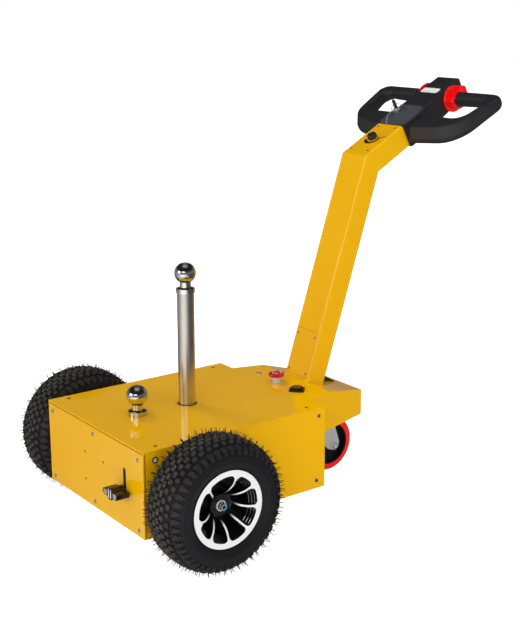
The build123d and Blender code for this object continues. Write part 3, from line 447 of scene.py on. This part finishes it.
# ---- tyres --------------------------------------------------------------------------------
tyre_radius = tyre_high[2] - axle_z
tyre_half = 0.5 * (tyre_high[0] - tyre_low[0])
block_height = 5.6 * MM
carcass_radius = tyre_radius - block_height
# Columns: share of the tyre's half width, and drop below the crown in millimetres
carcass_table = [
    (0, 0), (0.25, 0), (0.52, 1.6), (0.74, 6.5), (0.9, 15), (0.985, 27), (0.975, 38), (0.9, 49),
    (0.8, 56), (0.79, 61), (0.74, 64),
]


def section_curve():
    """The carcass outline from the crown's middle down one side to the bead, as (x, radius): control
    points smoothed four times by cutting each corner at a quarter of both its runs."""
    outline = np.array([(share * tyre_half, carcass_radius - drop * MM) for share, drop in carcass_table])
    for _ in range(4):
        near, far = outline[:-1], outline[1:]
        cut = np.stack([0.75 * near + 0.25 * far, 0.25 * near + 0.75 * far], 1).reshape(-1, 2)
        outline = np.vstack([outline[:1], cut, outline[-1:]])
    return outline


section = section_curve()
section_length = np.concatenate([[0], np.cumsum(np.linalg.norm(np.diff(section, axis=0), axis=1))])
section_along = np.gradient(section, section_length, axis=0)
section_along /= np.linalg.norm(section_along, axis=1, keepdims=True)


def on_tyre(s, around, height, angle):
    """A point at arc length s from the crown's middle (negative on the other side), lifted square to
    the carcass by height, at angle plus around / radius about the axle."""
    side, reach = np.sign(s) + (s == 0), np.abs(s)
    x = np.interp(reach, section_length, section[:, 0])
    r = np.interp(reach, section_length, section[:, 1])
    tx = np.interp(reach, section_length, section_along[:, 0])
    tr = np.interp(reach, section_length, section_along[:, 1])
    x, r = x - tr * height, r + tx * height
    t = angle + around / r
    point = np.broadcast_arrays(x * side, axle_y + r * np.cos(t), axle_z + r * np.sin(t))
    return np.stack(point, -1)


# Tread rows on each side of the crown: arc length from the middle, half length across, half width
# around and height, in metres, squareness of the outline (2 is round, 8 nearly square), taper down
# the row and how much dust its tops hold. Neighbouring rows are staggered by half a pitch.
pitches = 48
row_columns = ("place", "half_across", "half_around", "height", "square", "taper", "dust")
tread_rows = [
    (0.0064, 0.0046, 0.0072, 0.0056, 6, 0.0, 1.0),
    (0.0204, 0.0062, 0.0070, 0.0054, 3, 0.0, 0.6),
    (0.0348, 0.0055, 0.0064, 0.0050, 3, 0.0, 0.4),
    (0.0545, 0.0110, 0.0072, 0.0038, 4, 0.4, 0.22),
]
block_sides = 12


def tread_blocks(row, side, stagger, seed):
    """One row of blocks: a superellipse outline |a/p|^n + |b/q|^n = 1 drawn in at the top edge and
    closed by a centre point, carried round the tyre on one side of the crown. Each block is a few
    per cent larger or smaller, and a little lower or out of its place round the tyre."""
    v = dict(zip(row_columns, row))
    rng = np.random.default_rng(seed)
    t = np.linspace(0, 2 * np.pi, block_sides, endpoint=False) + np.pi / block_sides
    power = 2 / v["square"]
    a = np.sign(np.cos(t)) * np.abs(np.cos(t)) ** power
    b = np.sign(np.sin(t)) * np.abs(np.sin(t)) ** power
    # From root to crown: share of the outline, height, and how dusty
    height = v["height"]
    rings = np.array([
        (1.18, -0.001, 0.0), (1.0, height - 0.0016, 0.45), (0.84, height, 1.0), (0.0, height + 0.0003, 1.0),
    ])
    scale, lift, dusty = rings.T[:, :, None]
    across = a[None] * scale * v["half_across"]
    narrow = 1 - v["taper"] * (across / v["half_across"] + 0.4)
    around = b[None] * scale * v["half_around"] * narrow
    lift = np.broadcast_to(lift, across.shape)
    grow = rng.uniform(0.92, 1.08, (pitches, 1, 1))
    turn = (np.arange(pitches) + 0.5 * stagger) * 2 * np.pi / pitches - np.pi / 2
    turn = turn + rng.uniform(-0.006, 0.006, pitches)
    place = side * (v["place"] + across)
    lift = lift[None] - 0.0006 * rng.random((pitches, 1, 1))
    points = on_tyre(place[None], around[None] * grow, lift, turn[:, None, None])
    faces = grid_faces(len(rings), len(t), close_columns=True)
    steps = np.arange(pitches)[:, None, None] * across.size
    top = v["dust"] * np.tile(np.repeat(dusty.ravel(), len(t)), pitches)
    return points.reshape(-1, 3), (faces[None] + steps).reshape(-1, 4), top


def whiskers(seed):
    """Moulding whiskers: four-sided cones that stand on the tread and bow over as the square of
    the distance from the root, none of them reaching below the floor."""
    rng = np.random.default_rng(seed)
    places = np.outer([0.0064, 0.0204, 0.0348, 0.047, 0.059], [1, -1]).ravel()
    drift = 3.5 * np.linspace(0, 1, len(places))
    turn = (np.arange(pitches)[:, None] + drift[None]) * 2 * np.pi / pitches
    s = np.broadcast_to(places[None], turn.shape).ravel() + rng.uniform(-0.0015, 0.0015, turn.size)
    turn = turn.ravel() + rng.uniform(-0.02, 0.02, turn.size)
    length = rng.uniform(8.5, 13.0, turn.size) * MM
    lean = rng.uniform(-2.6, 2.6, turn.size) * MM
    levels, root_radius, root_height, floor_gap = 5, 1.1 * MM, 3.0 * MM, 0.5 * MM
    w = np.linspace(0, 1, levels)
    side = np.arange(4) * np.pi / 2
    thick = root_radius * (1 - 0.4 * w)
    a = thick[None, :, None] * np.cos(side)[None, None, :]
    b = thick[None, :, None] * np.sin(side)[None, None, :] + lean[:, None, None] * (w**2)[None, :, None]
    lift = root_height + length[:, None, None] * w[None, :, None] + 0 * a
    points = on_tyre(s[:, None, None] + a, b, lift, turn[:, None, None])
    points = points[points[..., 2].min(axis=(1, 2)) > floor_gap]
    faces = bar_faces(levels)
    steps = np.arange(len(points))[:, None, None] * 4 * levels
    return points.reshape(-1, 3), (faces[None] + steps).reshape(-1, 4), np.zeros(points[..., 0].size)


# Rings moulded on the sidewall: arc length from the crown's middle, and half width
sidewall_rings = [(0.0715, 0.0009), (0.0835, 0.0011), (0.0990, 0.0016), (0.1060, 0.0009)]


def tyre(side, seed):
    """The carcass is the section curve carried right round, from bead to bead, its sidewalls raised
    as bell curves at each ring, with rows of blocks and whiskers standing on it."""
    stations, sectors, ring_height = 181, 192, 0.9 * MM
    s = np.linspace(-section_length[-1], section_length[-1], stations)
    t = np.linspace(0, 2 * np.pi, sectors, endpoint=False)
    raised = sum(ring_height * np.exp(-(((np.abs(s) - ring) / half) ** 2)) for ring, half in sidewall_rings)
    points = on_tyre(s[None], 0 * s[None], raised[None], t[:, None]).reshape(-1, 3)
    shapes = [(points, grid_faces(sectors, stations, close_rows=True), np.zeros(len(points)))]
    for k, row in enumerate(tread_rows):
        shapes.append(tread_blocks(row, 1, k % 2, seed + 2 * k))
        shapes.append(tread_blocks(row, -1, (k + 1) % 2, seed + 2 * k + 1))
    shapes.append(whiskers(seed))
    points, faces = joined([shape[:2] for shape in shapes])
    top = np.concatenate([shape[2] for shape in shapes])
    points = points + [side * tyre_middle, 0, 0]
    name = side_names[side]
    tread = piece("tread_tyre_" + name, points, faces, "wheel_" + name, "tyre_rubber", block_top=top)
    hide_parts("tyre_" + name)


tyre(1, seed=3)
tyre(-1, seed=7)


# ---- screws --------------------------------------------------------------------------------
body_half = deck_high[0] / MM
body_top = deck_high[2] / MM
body_front = (front_low[1] - axle_y) / MM


def button_head(radius, height):
    """Outline of a domed head with a round-bottomed socket, as (radius, height) in millimetres."""
    r, h = radius, height
    return [
        (0, -0.5), (r, -0.5), (r, 0.12 * h), (0.92 * r, 0.5 * h), (0.72 * r, 0.84 * h), (0.5 * r, h),
        (0.36 * r, h), (0.34 * r, 0.3 * h), (0, 0.2 * h),
    ]


def washer(inner, outer, height):
    """Outline of a flat ring with eased edges, as (radius, height) in millimetres."""
    e = 0.25 * height
    return [
        (inner, -0.3), (outer, -0.3), (outer, height - e), (outer - e, height),
        (inner + e, height), (inner, height - e),
    ]


def repeat_turned(name, outline, places, normals, body, slot, material=None, sides=24):
    """One turned outline set at each place with its axis along that place's normal."""
    points, faces = lathe(np.array(outline) * MM, sides)
    points, faces = copies(points, faces, places, axis_turns(normals))
    return piece(name, points, faces, body, slot, material)


# Places across, back from the axle and up from the floor; on the column and the head, places
# across and along the face.
front_places = ((-196, 247), (0, 247.5), (196, 247), (-195, 83), (0, 83), (195, 83))
front_screws = [(x, body_front, z) for x, z in front_places]
side_screws = [(side * body_half, y, z) for side in (-1, 1) for y, z in ((352.3, 250.2), (347.2, 88.5))]
corner_screws = [(side * body_half, -98.8, 246.8) for side in (-1, 1)]
deck_screws = [(x, y, body_top) for x, y in ((-197, -86), (197, -86), (-194, 332.5), (194, 332.5))]
cover_screws = [(x, up, 0) for up in (18, 112) for x in (-33, 33)]
plate_screws = [(x, along, 0) for along in (-115, -13) for x in (-31, 31)]
panel_ways = [(0, -1, 0)] * len(front_screws) + [(math.copysign(1, place[0]), 0, 0) for place in side_screws]
corner_ways = [(-1, 0, 0), (1, 0, 0)]

# Columns: name, outline, places, outward ways, slot, and own finish where it differs
screw_sets = [
    ("panel_screws", button_head(4.9, 2.8), on_floor(front_screws + side_screws), panel_ways,
     "zinc_plate", "chrome_plate"),
    ("corner_screws", button_head(5.2, 3.6), on_floor(corner_screws), corner_ways, "zinc_plate", None),
    ("corner_washers", washer(3.6, 7.6, 1.6), on_floor(corner_screws), corner_ways, "black_plastic", None),
    ("deck_screws", button_head(3.9, 1.0), on_floor(deck_screws), [(0, 0, 1)] * 4, "dark_machinery", None),
    ("cover_screws", button_head(3.4, 1.8), on_column(cover_screws), [column_axes[2]] * 4,
     "zinc_plate", "chrome_plate"),
    ("plate_screws", button_head(3.0, 1.6), on_head(plate_screws), [head_axes[2]] * 4,
     "zinc_plate", "chrome_plate"),
]
for name, outline, places, ways, slot, material in screw_sets:
    repeat_turned(name, outline, places, ways, "body", slot, material)


# ---- seam shadows: strips painted as shade in the gaps between sheets ----------------------
def strip(path, across, up, width, height):
    """A flat bar carried along a path: its section is a trapezoid, width wide at the foot and six
    tenths of that at the top, which stands height above the path."""
    path, across, up = (np.asarray(v, float) for v in (path, across, up))
    side = 0.5 * width * np.array([-1, -0.6, 0.6, 1])
    rise = height * np.array([-0.6, 1, 1, -0.6])
    points = path[:, None] + np.broadcast_to(across, path.shape)[:, None] * side[None, :, None]
    points = points + np.broadcast_to(up, path.shape)[:, None] * rise[None, :, None]
    return points.reshape(-1, 3), bar_faces(len(path))


def line(start, end, across, up, width, height):
    """A straight strip between two ends given in millimetres from the floor and the axle."""
    return strip(on_floor([start, end]), across, up, width * MM, height * MM)


X, Y, Z = np.eye(3)
# Dark amber strips painted as the shade under the deck's lip, in the front corners' gaps and round the
# column cover
seam_shadow_width, seam_shadow_height = 2.6, 0.3
lip_z = body_top - 4.7
corner_y = body_front + 5.0
panel_foot = front_low[2] / MM
side_back = 369.5
lip_left, lip_right = [(side * body_half, body_front, lip_z) for side in (-1, 1)]
seam_shadows = [line(lip_left, lip_right, Z, -Y, seam_shadow_width, seam_shadow_height)]
for side in (-1, 1):
    foot = (side * body_half, corner_y, panel_foot + 0.5)
    seam_shadows.append(line(foot, (side * body_half, corner_y, lip_z), Y, side * X, seam_shadow_width, seam_shadow_height))


def frame_line(place, low, high, half, axes, width, height):
    """Four strips round a rectangular plate from low to high and out to half on each side."""
    corners = [(-half, low, 0), (half, low, 0), (half, high, 0), (-half, high, 0)]
    ends = [(corners[k], corners[(k + 1) % 4]) for k in range(4)]
    ways = (axes[1], axes[0], axes[1], axes[0])
    return [strip(place(pair), way, axes[2], width * MM, height * MM) for pair, way in zip(ends, ways)]


cover_foot, cover_top, cover_half = 8.0, 126.0, 40.0
seam_shadows += frame_line(on_column, cover_foot, cover_top, cover_half, column_axes, 0.8, 0.15)
piece("sheet_seams", *joined(seam_shadows), "body", "yellow_powder_coat", "seam")


def roll(start, end, away, radius=2.1, sides=16):
    """A rounded bend along an edge: a circle of the radius, its middle set in by 0.75 of the radius
    from the edge against both outward directions, carried from start to end, each closed by a fan."""
    ends = on_floor([start, end])
    first, second = np.asarray(away, float)
    t = np.linspace(0, 2 * np.pi, sides, endpoint=False)[:, None]
    ring = radius * MM * (first * np.cos(t) + second * np.sin(t) - 0.75 * (first + second))
    points = (ends[:, None] + ring[None]).reshape(-1, 3)
    points = np.vstack([points, points[:sides].mean(axis=0), points[sides:].mean(axis=0)])
    near = np.arange(sides)
    far = 2 * sides - 1 - near
    fans = [
        np.stack([loop, np.roll(loop, -1), np.full(sides, tip), np.full(sides, tip)], -1)
        for loop, tip in ((near, 2 * sides), (far, 2 * sides + 1))
    ]
    return points, np.vstack([grid_faces(2, sides, close_columns=True)] + fans)


bends = [roll((-body_half, body_front, body_top), (body_half, body_front, body_top), (-Y, Z))]
for side in (1, -1):
    corner = (side * body_half, body_front, body_top)
    bends.append(roll(corner, (side * body_half, side_back, body_top), (side * X, Z)))
for side in (1, -1):
    corner = (side * body_half, body_front, body_top)
    bends.append(roll((side * body_half, body_front, panel_foot), corner, (side * X, -Y)))
piece("panel_bends", *joined(bends), "body", "yellow_powder_coat")


# ---- drive wheel hubs ----------------------------------------------------------------------
nut_low, nut_high = spans("hub_nut_right")
nut_face = nut_high[0] / MM
boss_face = nut_low[0] / MM + 1.2  # the washer under the nut
thread_end = spans("axle_shaft_right")[1][0] / MM
rim_face = rim_high[0] / MM


def ridge(radius, depth, half=0.4):
    """Outline of a fine ridge of diamond section in the rim's barrel, at a depth below its face."""
    return [
        (radius - half, -depth), (radius, -depth - half), (radius + half, -depth), (radius, -depth + half),
    ]


barrel_ridges = [ridge(71.7, 4), ridge(67.7, 9), ridge(63.7, 15)]
end_cap = [(0, -0.3), (4.6, -0.3), (4.6, 0.2), (0, 0.2)]
# Columns: name, outline, distance out from the tug's middle, slot, own finish and number of sides
hub_trim = [
    # Painted shade: a black ring for the dark gap between the silver ring and the nut
    ("hub_gap_shade_", washer(8.0, 9.7, 1.4), boss_face, "zinc_plate", "gloss_black", 36),
    # The silver ring round the nut is white as a painted highlight, standing for its reflection
    ("hub_ring_", washer(9.6, 12.0, 4.2), boss_face, "zinc_plate", "rubbed_white", 36),
    *[
        (f"barrel_ridge_{k}_", outline, rim_face, "cast_aluminium", "chrome_plate", 120)
        for k, outline in enumerate(barrel_ridges)
    ],
    ("nut_insert_", washer(4.6, 6.4, 0.9), nut_face, "zinc_plate", "blue_nylon", 36),
    # Painted shade: a black disc on the axle's end for the shade deep in the nut's bore
    ("axle_end_shade_", end_cap, thread_end, "zinc_plate", "gloss_black", 24),
]
for side in (1, -1):
    name = side_names[side]
    for trim, outline, out, slot, material, sides in hub_trim:
        place = [(side * out * MM, axle_y, axle_z)]
        repeat_turned(trim + name, outline, place, [(side, 0, 0)], "wheel_" + name, slot, material, sides)


# ---- caster bolt ---------------------------------------------------------------------------
def hex_head(across_flats, height):
    """A bolt head: a hexagon's edge, eased at the top where it meets a cone, with a centre point."""
    t = np.arange(24) * np.pi / 12
    edge = 0.5 * across_flats / np.cos((t + np.pi / 6) % (np.pi / 3) - np.pi / 6)
    rim = np.stack([edge, edge, np.minimum(edge, 0.5 * across_flats), 0.35 * edge, 0 * edge])
    level = np.array([-0.5, 0.82 * height, height, height, 0.9 * height])[:, None] + 0 * rim
    points = np.stack([rim * np.cos(t), rim * np.sin(t), level], -1)
    return points.reshape(-1, 3) * MM, grid_faces(5, 24, close_columns=True)


axle_low, axle_high = spans("caster_axle")
fork_side = spans("caster_fork")[1][0]
caster_middle = 0.5 * (axle_low + axle_high)
bolt_ways = np.array([(-1, 0, 0), (1, 0, 0)])
head_seat = 1.6 * MM  # just inside the outer face of the 1.8 mm washers
washer_places = bolt_ways * (fork_side - 0.2 * MM) + [0, caster_middle[1], caster_middle[2]]
head_places = washer_places + bolt_ways * head_seat
heads = copies(*hex_head(15, 7.5), head_places, axis_turns(bolt_ways))
piece("caster_bolt_heads", *heads, "caster_swivel", "zinc_plate", "chrome_plate", crease=25)
repeat_turned(
    "caster_washers", washer(5.0, 11.0, 1.8), washer_places, bolt_ways, "caster_swivel", "zinc_plate",
    sides=36,
)


# ---- controls ------------------------------------------------------------------------------
speed_along = -64.0
knob_outline = [
    (0, 0.2), (7, 0.2), (7, 2.2), (12.2, 2.6), (12.4, 4), (11.9, 12), (11.2, 13.4), (10, 14),
    (9.2, 13.7), (8.8, 12.9), (0, 12.7),
]
points, faces = lathe(knob_outline, 96, flute=0.055, count=18)
points = on_head(points + [0, speed_along, 0])
knob = piece("fluted_speed_knob", points, faces, "body", "black_plastic", crease=50)
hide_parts("speed_knob")


def arc_band(radius, widths, start, end, steps):
    """A thin printed band outside a circle from one angle to another, in degrees: its width goes
    evenly from the first to the second of two, and its ends are square."""
    t = np.radians(np.linspace(start, end, steps))
    way = np.stack([np.cos(t), np.sin(t)], -1)
    near = radius * way
    far = (radius + np.linspace(*widths, steps)[:, None]) * way
    rings = np.stack([near, far, far, near], 1)
    level = np.broadcast_to(np.array([0.15, 0.15, -0.1, -0.1])[None], (steps, 4))
    points = np.concatenate([rings, level[..., None]], -1)
    return points.reshape(-1, 3), bar_faces(steps)


def shifted(shape, move):
    """A shape's points moved by a distance, with its faces as they are."""
    return np.asarray(shape[0]) + move, shape[1]


# The dial printed round the speed knob: an arc that narrows along it, and two dots. The arc is partly print
# and partly painted shadow, widest at its start.
dial = [arc_band(15.6, (8.6, 6.0), 200, 388, 60)]
for radius, x, y in ((2.8, 26.5, 9.0), (2.0, 32.0, 12.5)):
    dial.append(shifted(arc_band(0.0, (radius, radius), 0, 359, 12), (x, y, 0)))
points, faces = joined([shifted(shape, (0, speed_along, 0)) for shape in dial])
piece("speed_dial_print", on_head(points), faces, "body", "black_plastic", "ink")


def slab(outline, rounding, low, high, rounds=3):
    """A flat plate: its outline's corners are cut rounds times at a quarter of each side, and its
    upper edge is drawn in towards the middle by a quarter circle of the rounding's radius, with one
    more ring just inside it so that the top stays flat to the light."""
    loop = np.asarray(outline, float)
    for _ in range(rounds):
        after = np.roll(loop, -1, axis=0)
        loop = np.stack([0.75 * loop + 0.25 * after, 0.25 * loop + 0.75 * after], 1).reshape(-1, 2)
    middle = loop.mean(axis=0)
    spoke = loop - middle
    spoke = spoke / np.linalg.norm(spoke, axis=1, keepdims=True)
    q = np.linspace(0, np.pi / 2, 5)
    inset = np.concatenate([[0], rounding * (1 - np.cos(q)), [1.3 * rounding]])
    level = np.concatenate([[low], high - rounding + rounding * np.sin(q), [high]])
    rings = loop[None] - spoke[None] * inset[:, None, None]
    rings = np.concatenate([middle + 0 * rings[:1], rings, middle + 0 * rings[:1]])
    level = np.concatenate([[low], level, [high]])[:, None] + 0 * rings[..., 0]
    points = np.concatenate([rings, level[..., None]], -1)
    return points.reshape(-1, 3), grid_faces(len(rings), len(loop), close_columns=True)


# A smoother plate let into the console's top, as (across, along), its black lightened as painted sheen
inlay_outline = [(-48, 3), (0, 2.9), (48, 3), (46, 48), (43.5, 92), (0, 92.1), (-43.5, 92), (-46, 48)]
points, faces = slab(inlay_outline, rounding=0.3, low=-0.2, high=0.45, rounds=1)
piece("console_inlay", on_head(points), faces, "body", "black_plastic", "panel_black")


# The throttles turn about the grips, whose middle is given along the console and above its top.
# Each is a disc with a butterfly-shaped paddle on its outer side.
grip_along, grip_above = 183.5, -33.0
thumb_low, thumb_high = spans("thumb_wheel_right")
wheel_inner, wheel_outer = thumb_low[0] / MM, thumb_high[0] / MM
paddle_outline = [
    (-27, 11), (-6, 14.5), (18, 17), (31.5, 25), (34, 12), (32, -3), (23, -18), (3, -27), (-16, -22),
    (-24, -6),
]
disc_outline = [
    (9.2, 0), (32, 0), (32.5, 0), (33.7, 0.7), (34, 1.8), (34, 2.1), (34, 5.9), (34, 6.2),
    (33.5, 7.4), (32.4, 8), (31.8, 8), (9.2, 8),
]
disc = lathe(disc_outline, 96)
paddle = slab(paddle_outline, rounding=2.6, low=6.0, high=wheel_outer - wheel_inner)
points, faces = joined([disc, paddle])
along, above, out = points.T
for side, name in side_names.items():
    places = on_head(np.stack([side * (wheel_inner + out), grip_along + along, grip_above + above], -1))
    wheel = piece("butterfly_throttle_" + name, places, faces, "body", "red_plastic", crease=60)
    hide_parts("thumb_wheel_" + name)


# Bars moulded on the release knob's face, painted white as highlights where light catches them
knob_low, knob_high = spans("release_knob")
knob_x, _, knob_z = 0.5 * (knob_low + knob_high) / MM
knob_y = (knob_low[1] - axle_y) / MM
bar_highlights = []
for x0, x1 in ((-26, -13.5), (13.5, 26)):
    for z in (-3.6, 0.2, 4.0):
        ends = [(knob_x + x, knob_y, knob_z + z) for x in (x0, x1)]
        bar_highlights.append(line(*ends, Z, -Y, 1.7, 0.5))
for x in (-5.6, 3.4):
    ends = [(knob_x + x, knob_y, knob_z + z) for z in (-10.5, 10.5)]
    bar_highlights.append(line(*ends, X, -Y, 3.4, 0.5))
piece("release_knob_bars", *joined(bar_highlights), "body", "black_plastic", "rubbed_white")


# A thin dark sheet in the tyre rubber's colour over the release slot, painted shade for its dark inside
slot_foot, slot_top, slot_width = 147.5, 209.5, 13.5
slot_seal = line((knob_x, body_front, slot_foot), (knob_x, body_front, slot_top), X, -Y, slot_width, 0.25)
piece("slot_seal", *slot_seal, "body", "tyre_rubber")

# Lamp bezel and the stop button's turning arrows
lamp_low, lamp_high = spans("status_lamp")
lamp_place = [*0.5 * (lamp_low + lamp_high)[:2], body_top * MM]
bezel = washer(3.6, 6.2, 2.4)
repeat_turned("lamp_bezel", bezel, [lamp_place], [(0, 0, 1)], "body", "chrome_plate", sides=36)

stop_low, stop_high = spans("estop_button")
stop_top = [*0.5 * (stop_low + stop_high)[:2], stop_high[2]]
dome_reach = [0, 15, 19.5]
dome_drop = [0, -0.8, -3.2]
arrows = []
for turn in (20, 140, 260):
    arrows.append(arc_band(10.4, (2.2, 2.2), turn, turn + 62, 16))
    arrows.append(arc_band(8.6, (5.8, 0.4), turn + 62, turn + 86, 6))
points, faces = joined(arrows)
reach = np.linalg.norm(points[:, :2], axis=1)
points[:, 2] += np.interp(reach, dome_reach, dome_drop) + 0.1
points = points * MM + stop_top
piece("stop_arrows", points, faces, "body", "red_plastic", "rubbed_white")


# ---- floor and light ----------------------------------------------------------------------
bpy.ops.mesh.primitive_plane_add(size=30)
floor = bpy.context.object
floor.name = "studio_floor"
paper, sheet, shader, where = start(
    "studio paper", Roughness=1.0, Specular_IOR_Level=0.0, Emission_Color=(1, 1, 1, 1),
)
floor.data.materials.append(paper)
# In mirrors the paper is bright only in front of the tug, most of all where its light falls, and
# dim behind it. To the camera it is white.
bright_spot = (1.2, -2.1, 0.0)
ray = add(sheet, "ShaderNodeLightPath", {})
back = add(sheet, "ShaderNodeSeparateXYZ", {0: where}).outputs[1]
front = add(
    sheet, "ShaderNodeMapRange",
    {"Value": back, "From Min": -1.2, "From Max": -0.45, "To Min": 0.36, "To Max": 0.09},
)
away = add(sheet, "ShaderNodeVectorMath", {0: where, 1: bright_spot}, operation="DISTANCE")
pool = add(
    sheet, "ShaderNodeMapRange",
    {"Value": away.outputs["Value"], "From Min": 0.5, "From Max": 2.2, "To Min": 1.3, "To Max": 0.0},
)
mirror = add(sheet, "ShaderNodeMath", {0: front.outputs[0], 1: pool.outputs[0]}, operation="ADD")
soft = add(sheet, "ShaderNodeMix", {0: ray.outputs["Is Glossy Ray"], 2: 0.16, 3: mirror.outputs[0]})
glow = add(sheet, "ShaderNodeMix", {0: ray.outputs["Is Camera Ray"], 2: soft.outputs[0], 3: 0.8})
shades = {6: srgb("#F4F4F4"), 7: srgb("#000000")}
shade = add(sheet, "ShaderNodeMix", {0: ray.outputs["Is Glossy Ray"], **shades}, data_type="RGBA")
link(sheet, shader, Base_Color=shade.outputs[2], Emission_Strength=glow.outputs[0])

# The room's air: white behind the object, an even soft light on it, and a dim room with a pale
# horizon for its glossy surfaces to mirror.
world = bpy.context.scene.world or bpy.data.worlds.new("studio")
bpy.context.scene.world = world
world.use_nodes = True
air = world.node_tree
ray = add(air, "ShaderNodeLightPath", {})
way = add(air, "ShaderNodeTexCoord", {}).outputs["Generated"]
rise = add(air, "ShaderNodeSeparateXYZ", {0: way}).outputs[2]
horizon = {"From Min": 0.03, "From Max": 0.5, "To Min": 0.22, "To Max": 0.02}
zenith = {"From Min": 0.88, "From Max": 1.0, "To Min": 0.0, "To Max": 0.4}
band = add(air, "ShaderNodeMapRange", {"Value": rise, **horizon})
crown = add(air, "ShaderNodeMapRange", {"Value": rise, **zenith})
mirror = add(air, "ShaderNodeMath", {0: band.outputs[0], 1: crown.outputs[0]}, operation="ADD")
soft = add(air, "ShaderNodeMix", {0: ray.outputs["Is Glossy Ray"], 2: 0.54, 3: mirror.outputs[0]})
seen = add(air, "ShaderNodeMix", {0: ray.outputs["Is Camera Ray"], 2: soft.outputs[0], 3: 1.0})
background = air.nodes["Background"]
background.inputs["Color"].default_value = (1, 1, 1, 1)
link(air, background, Strength=seen.outputs[0])
bpy.context.scene.view_settings.view_transform = "Standard"


def softbox(name, place, target, size, power, mirrored=True, spread=180):
    """A rectangular area light at a place, aimed at a target, seen in mirrors or not. A gridded one
    sends its light into a cone that is spread degrees wide, weaker towards the cone's edge."""
    data = bpy.data.lights.new(name, "AREA")
    data.shape = "RECTANGLE"
    data.size, data.size_y = size
    data.energy = power
    data.spread = math.radians(spread)
    lamp = bpy.data.objects.new(name, data)
    bpy.context.collection.objects.link(lamp)
    lamp.location = place
    lamp.rotation_euler = (Vector(target) - Vector(place)).to_track_quat("-Z", "Y").to_euler()
    lamp.visible_glossy = mirrored


# Weak lights that are gridded to a narrow cone put an even brightness on one part of the tug each
softbox("overhead light", (0.3, -0.2, 4.4), (0, 0, 0.3), (2.4, 2.4), 20, mirrored=False)
softbox("deck light", (-1.6, -0.5, 2.4), (0, -0.15, 0.27), (0.8, 0.8), 0.65, mirrored=False, spread=32)
softbox("key light", (2.9, -3.8, 2.2), (0, -0.2, 0.15), (2.9, 1.0), 3.4, mirrored=False, spread=42)
softbox("mirrored card", (2.9, -3.8, 2.2), (0, -0.2, 0.4), (2.9, 1.0), 17)
softbox("front light", (-0.9, -4.5, 1.4), (0, 0, 0.2), (2.4, 1.5), 30)
softbox("handle light", (3.4, -1.5, 2.2), (0.15, 0.62, 1.03), (0.6, 0.6), 0.32, mirrored=False, spread=14)
softbox("side light", (5.0, 0.8, 1.1), (0, 0, 0.15), (1.6, 1.8), 3.4, mirrored=False, spread=42)
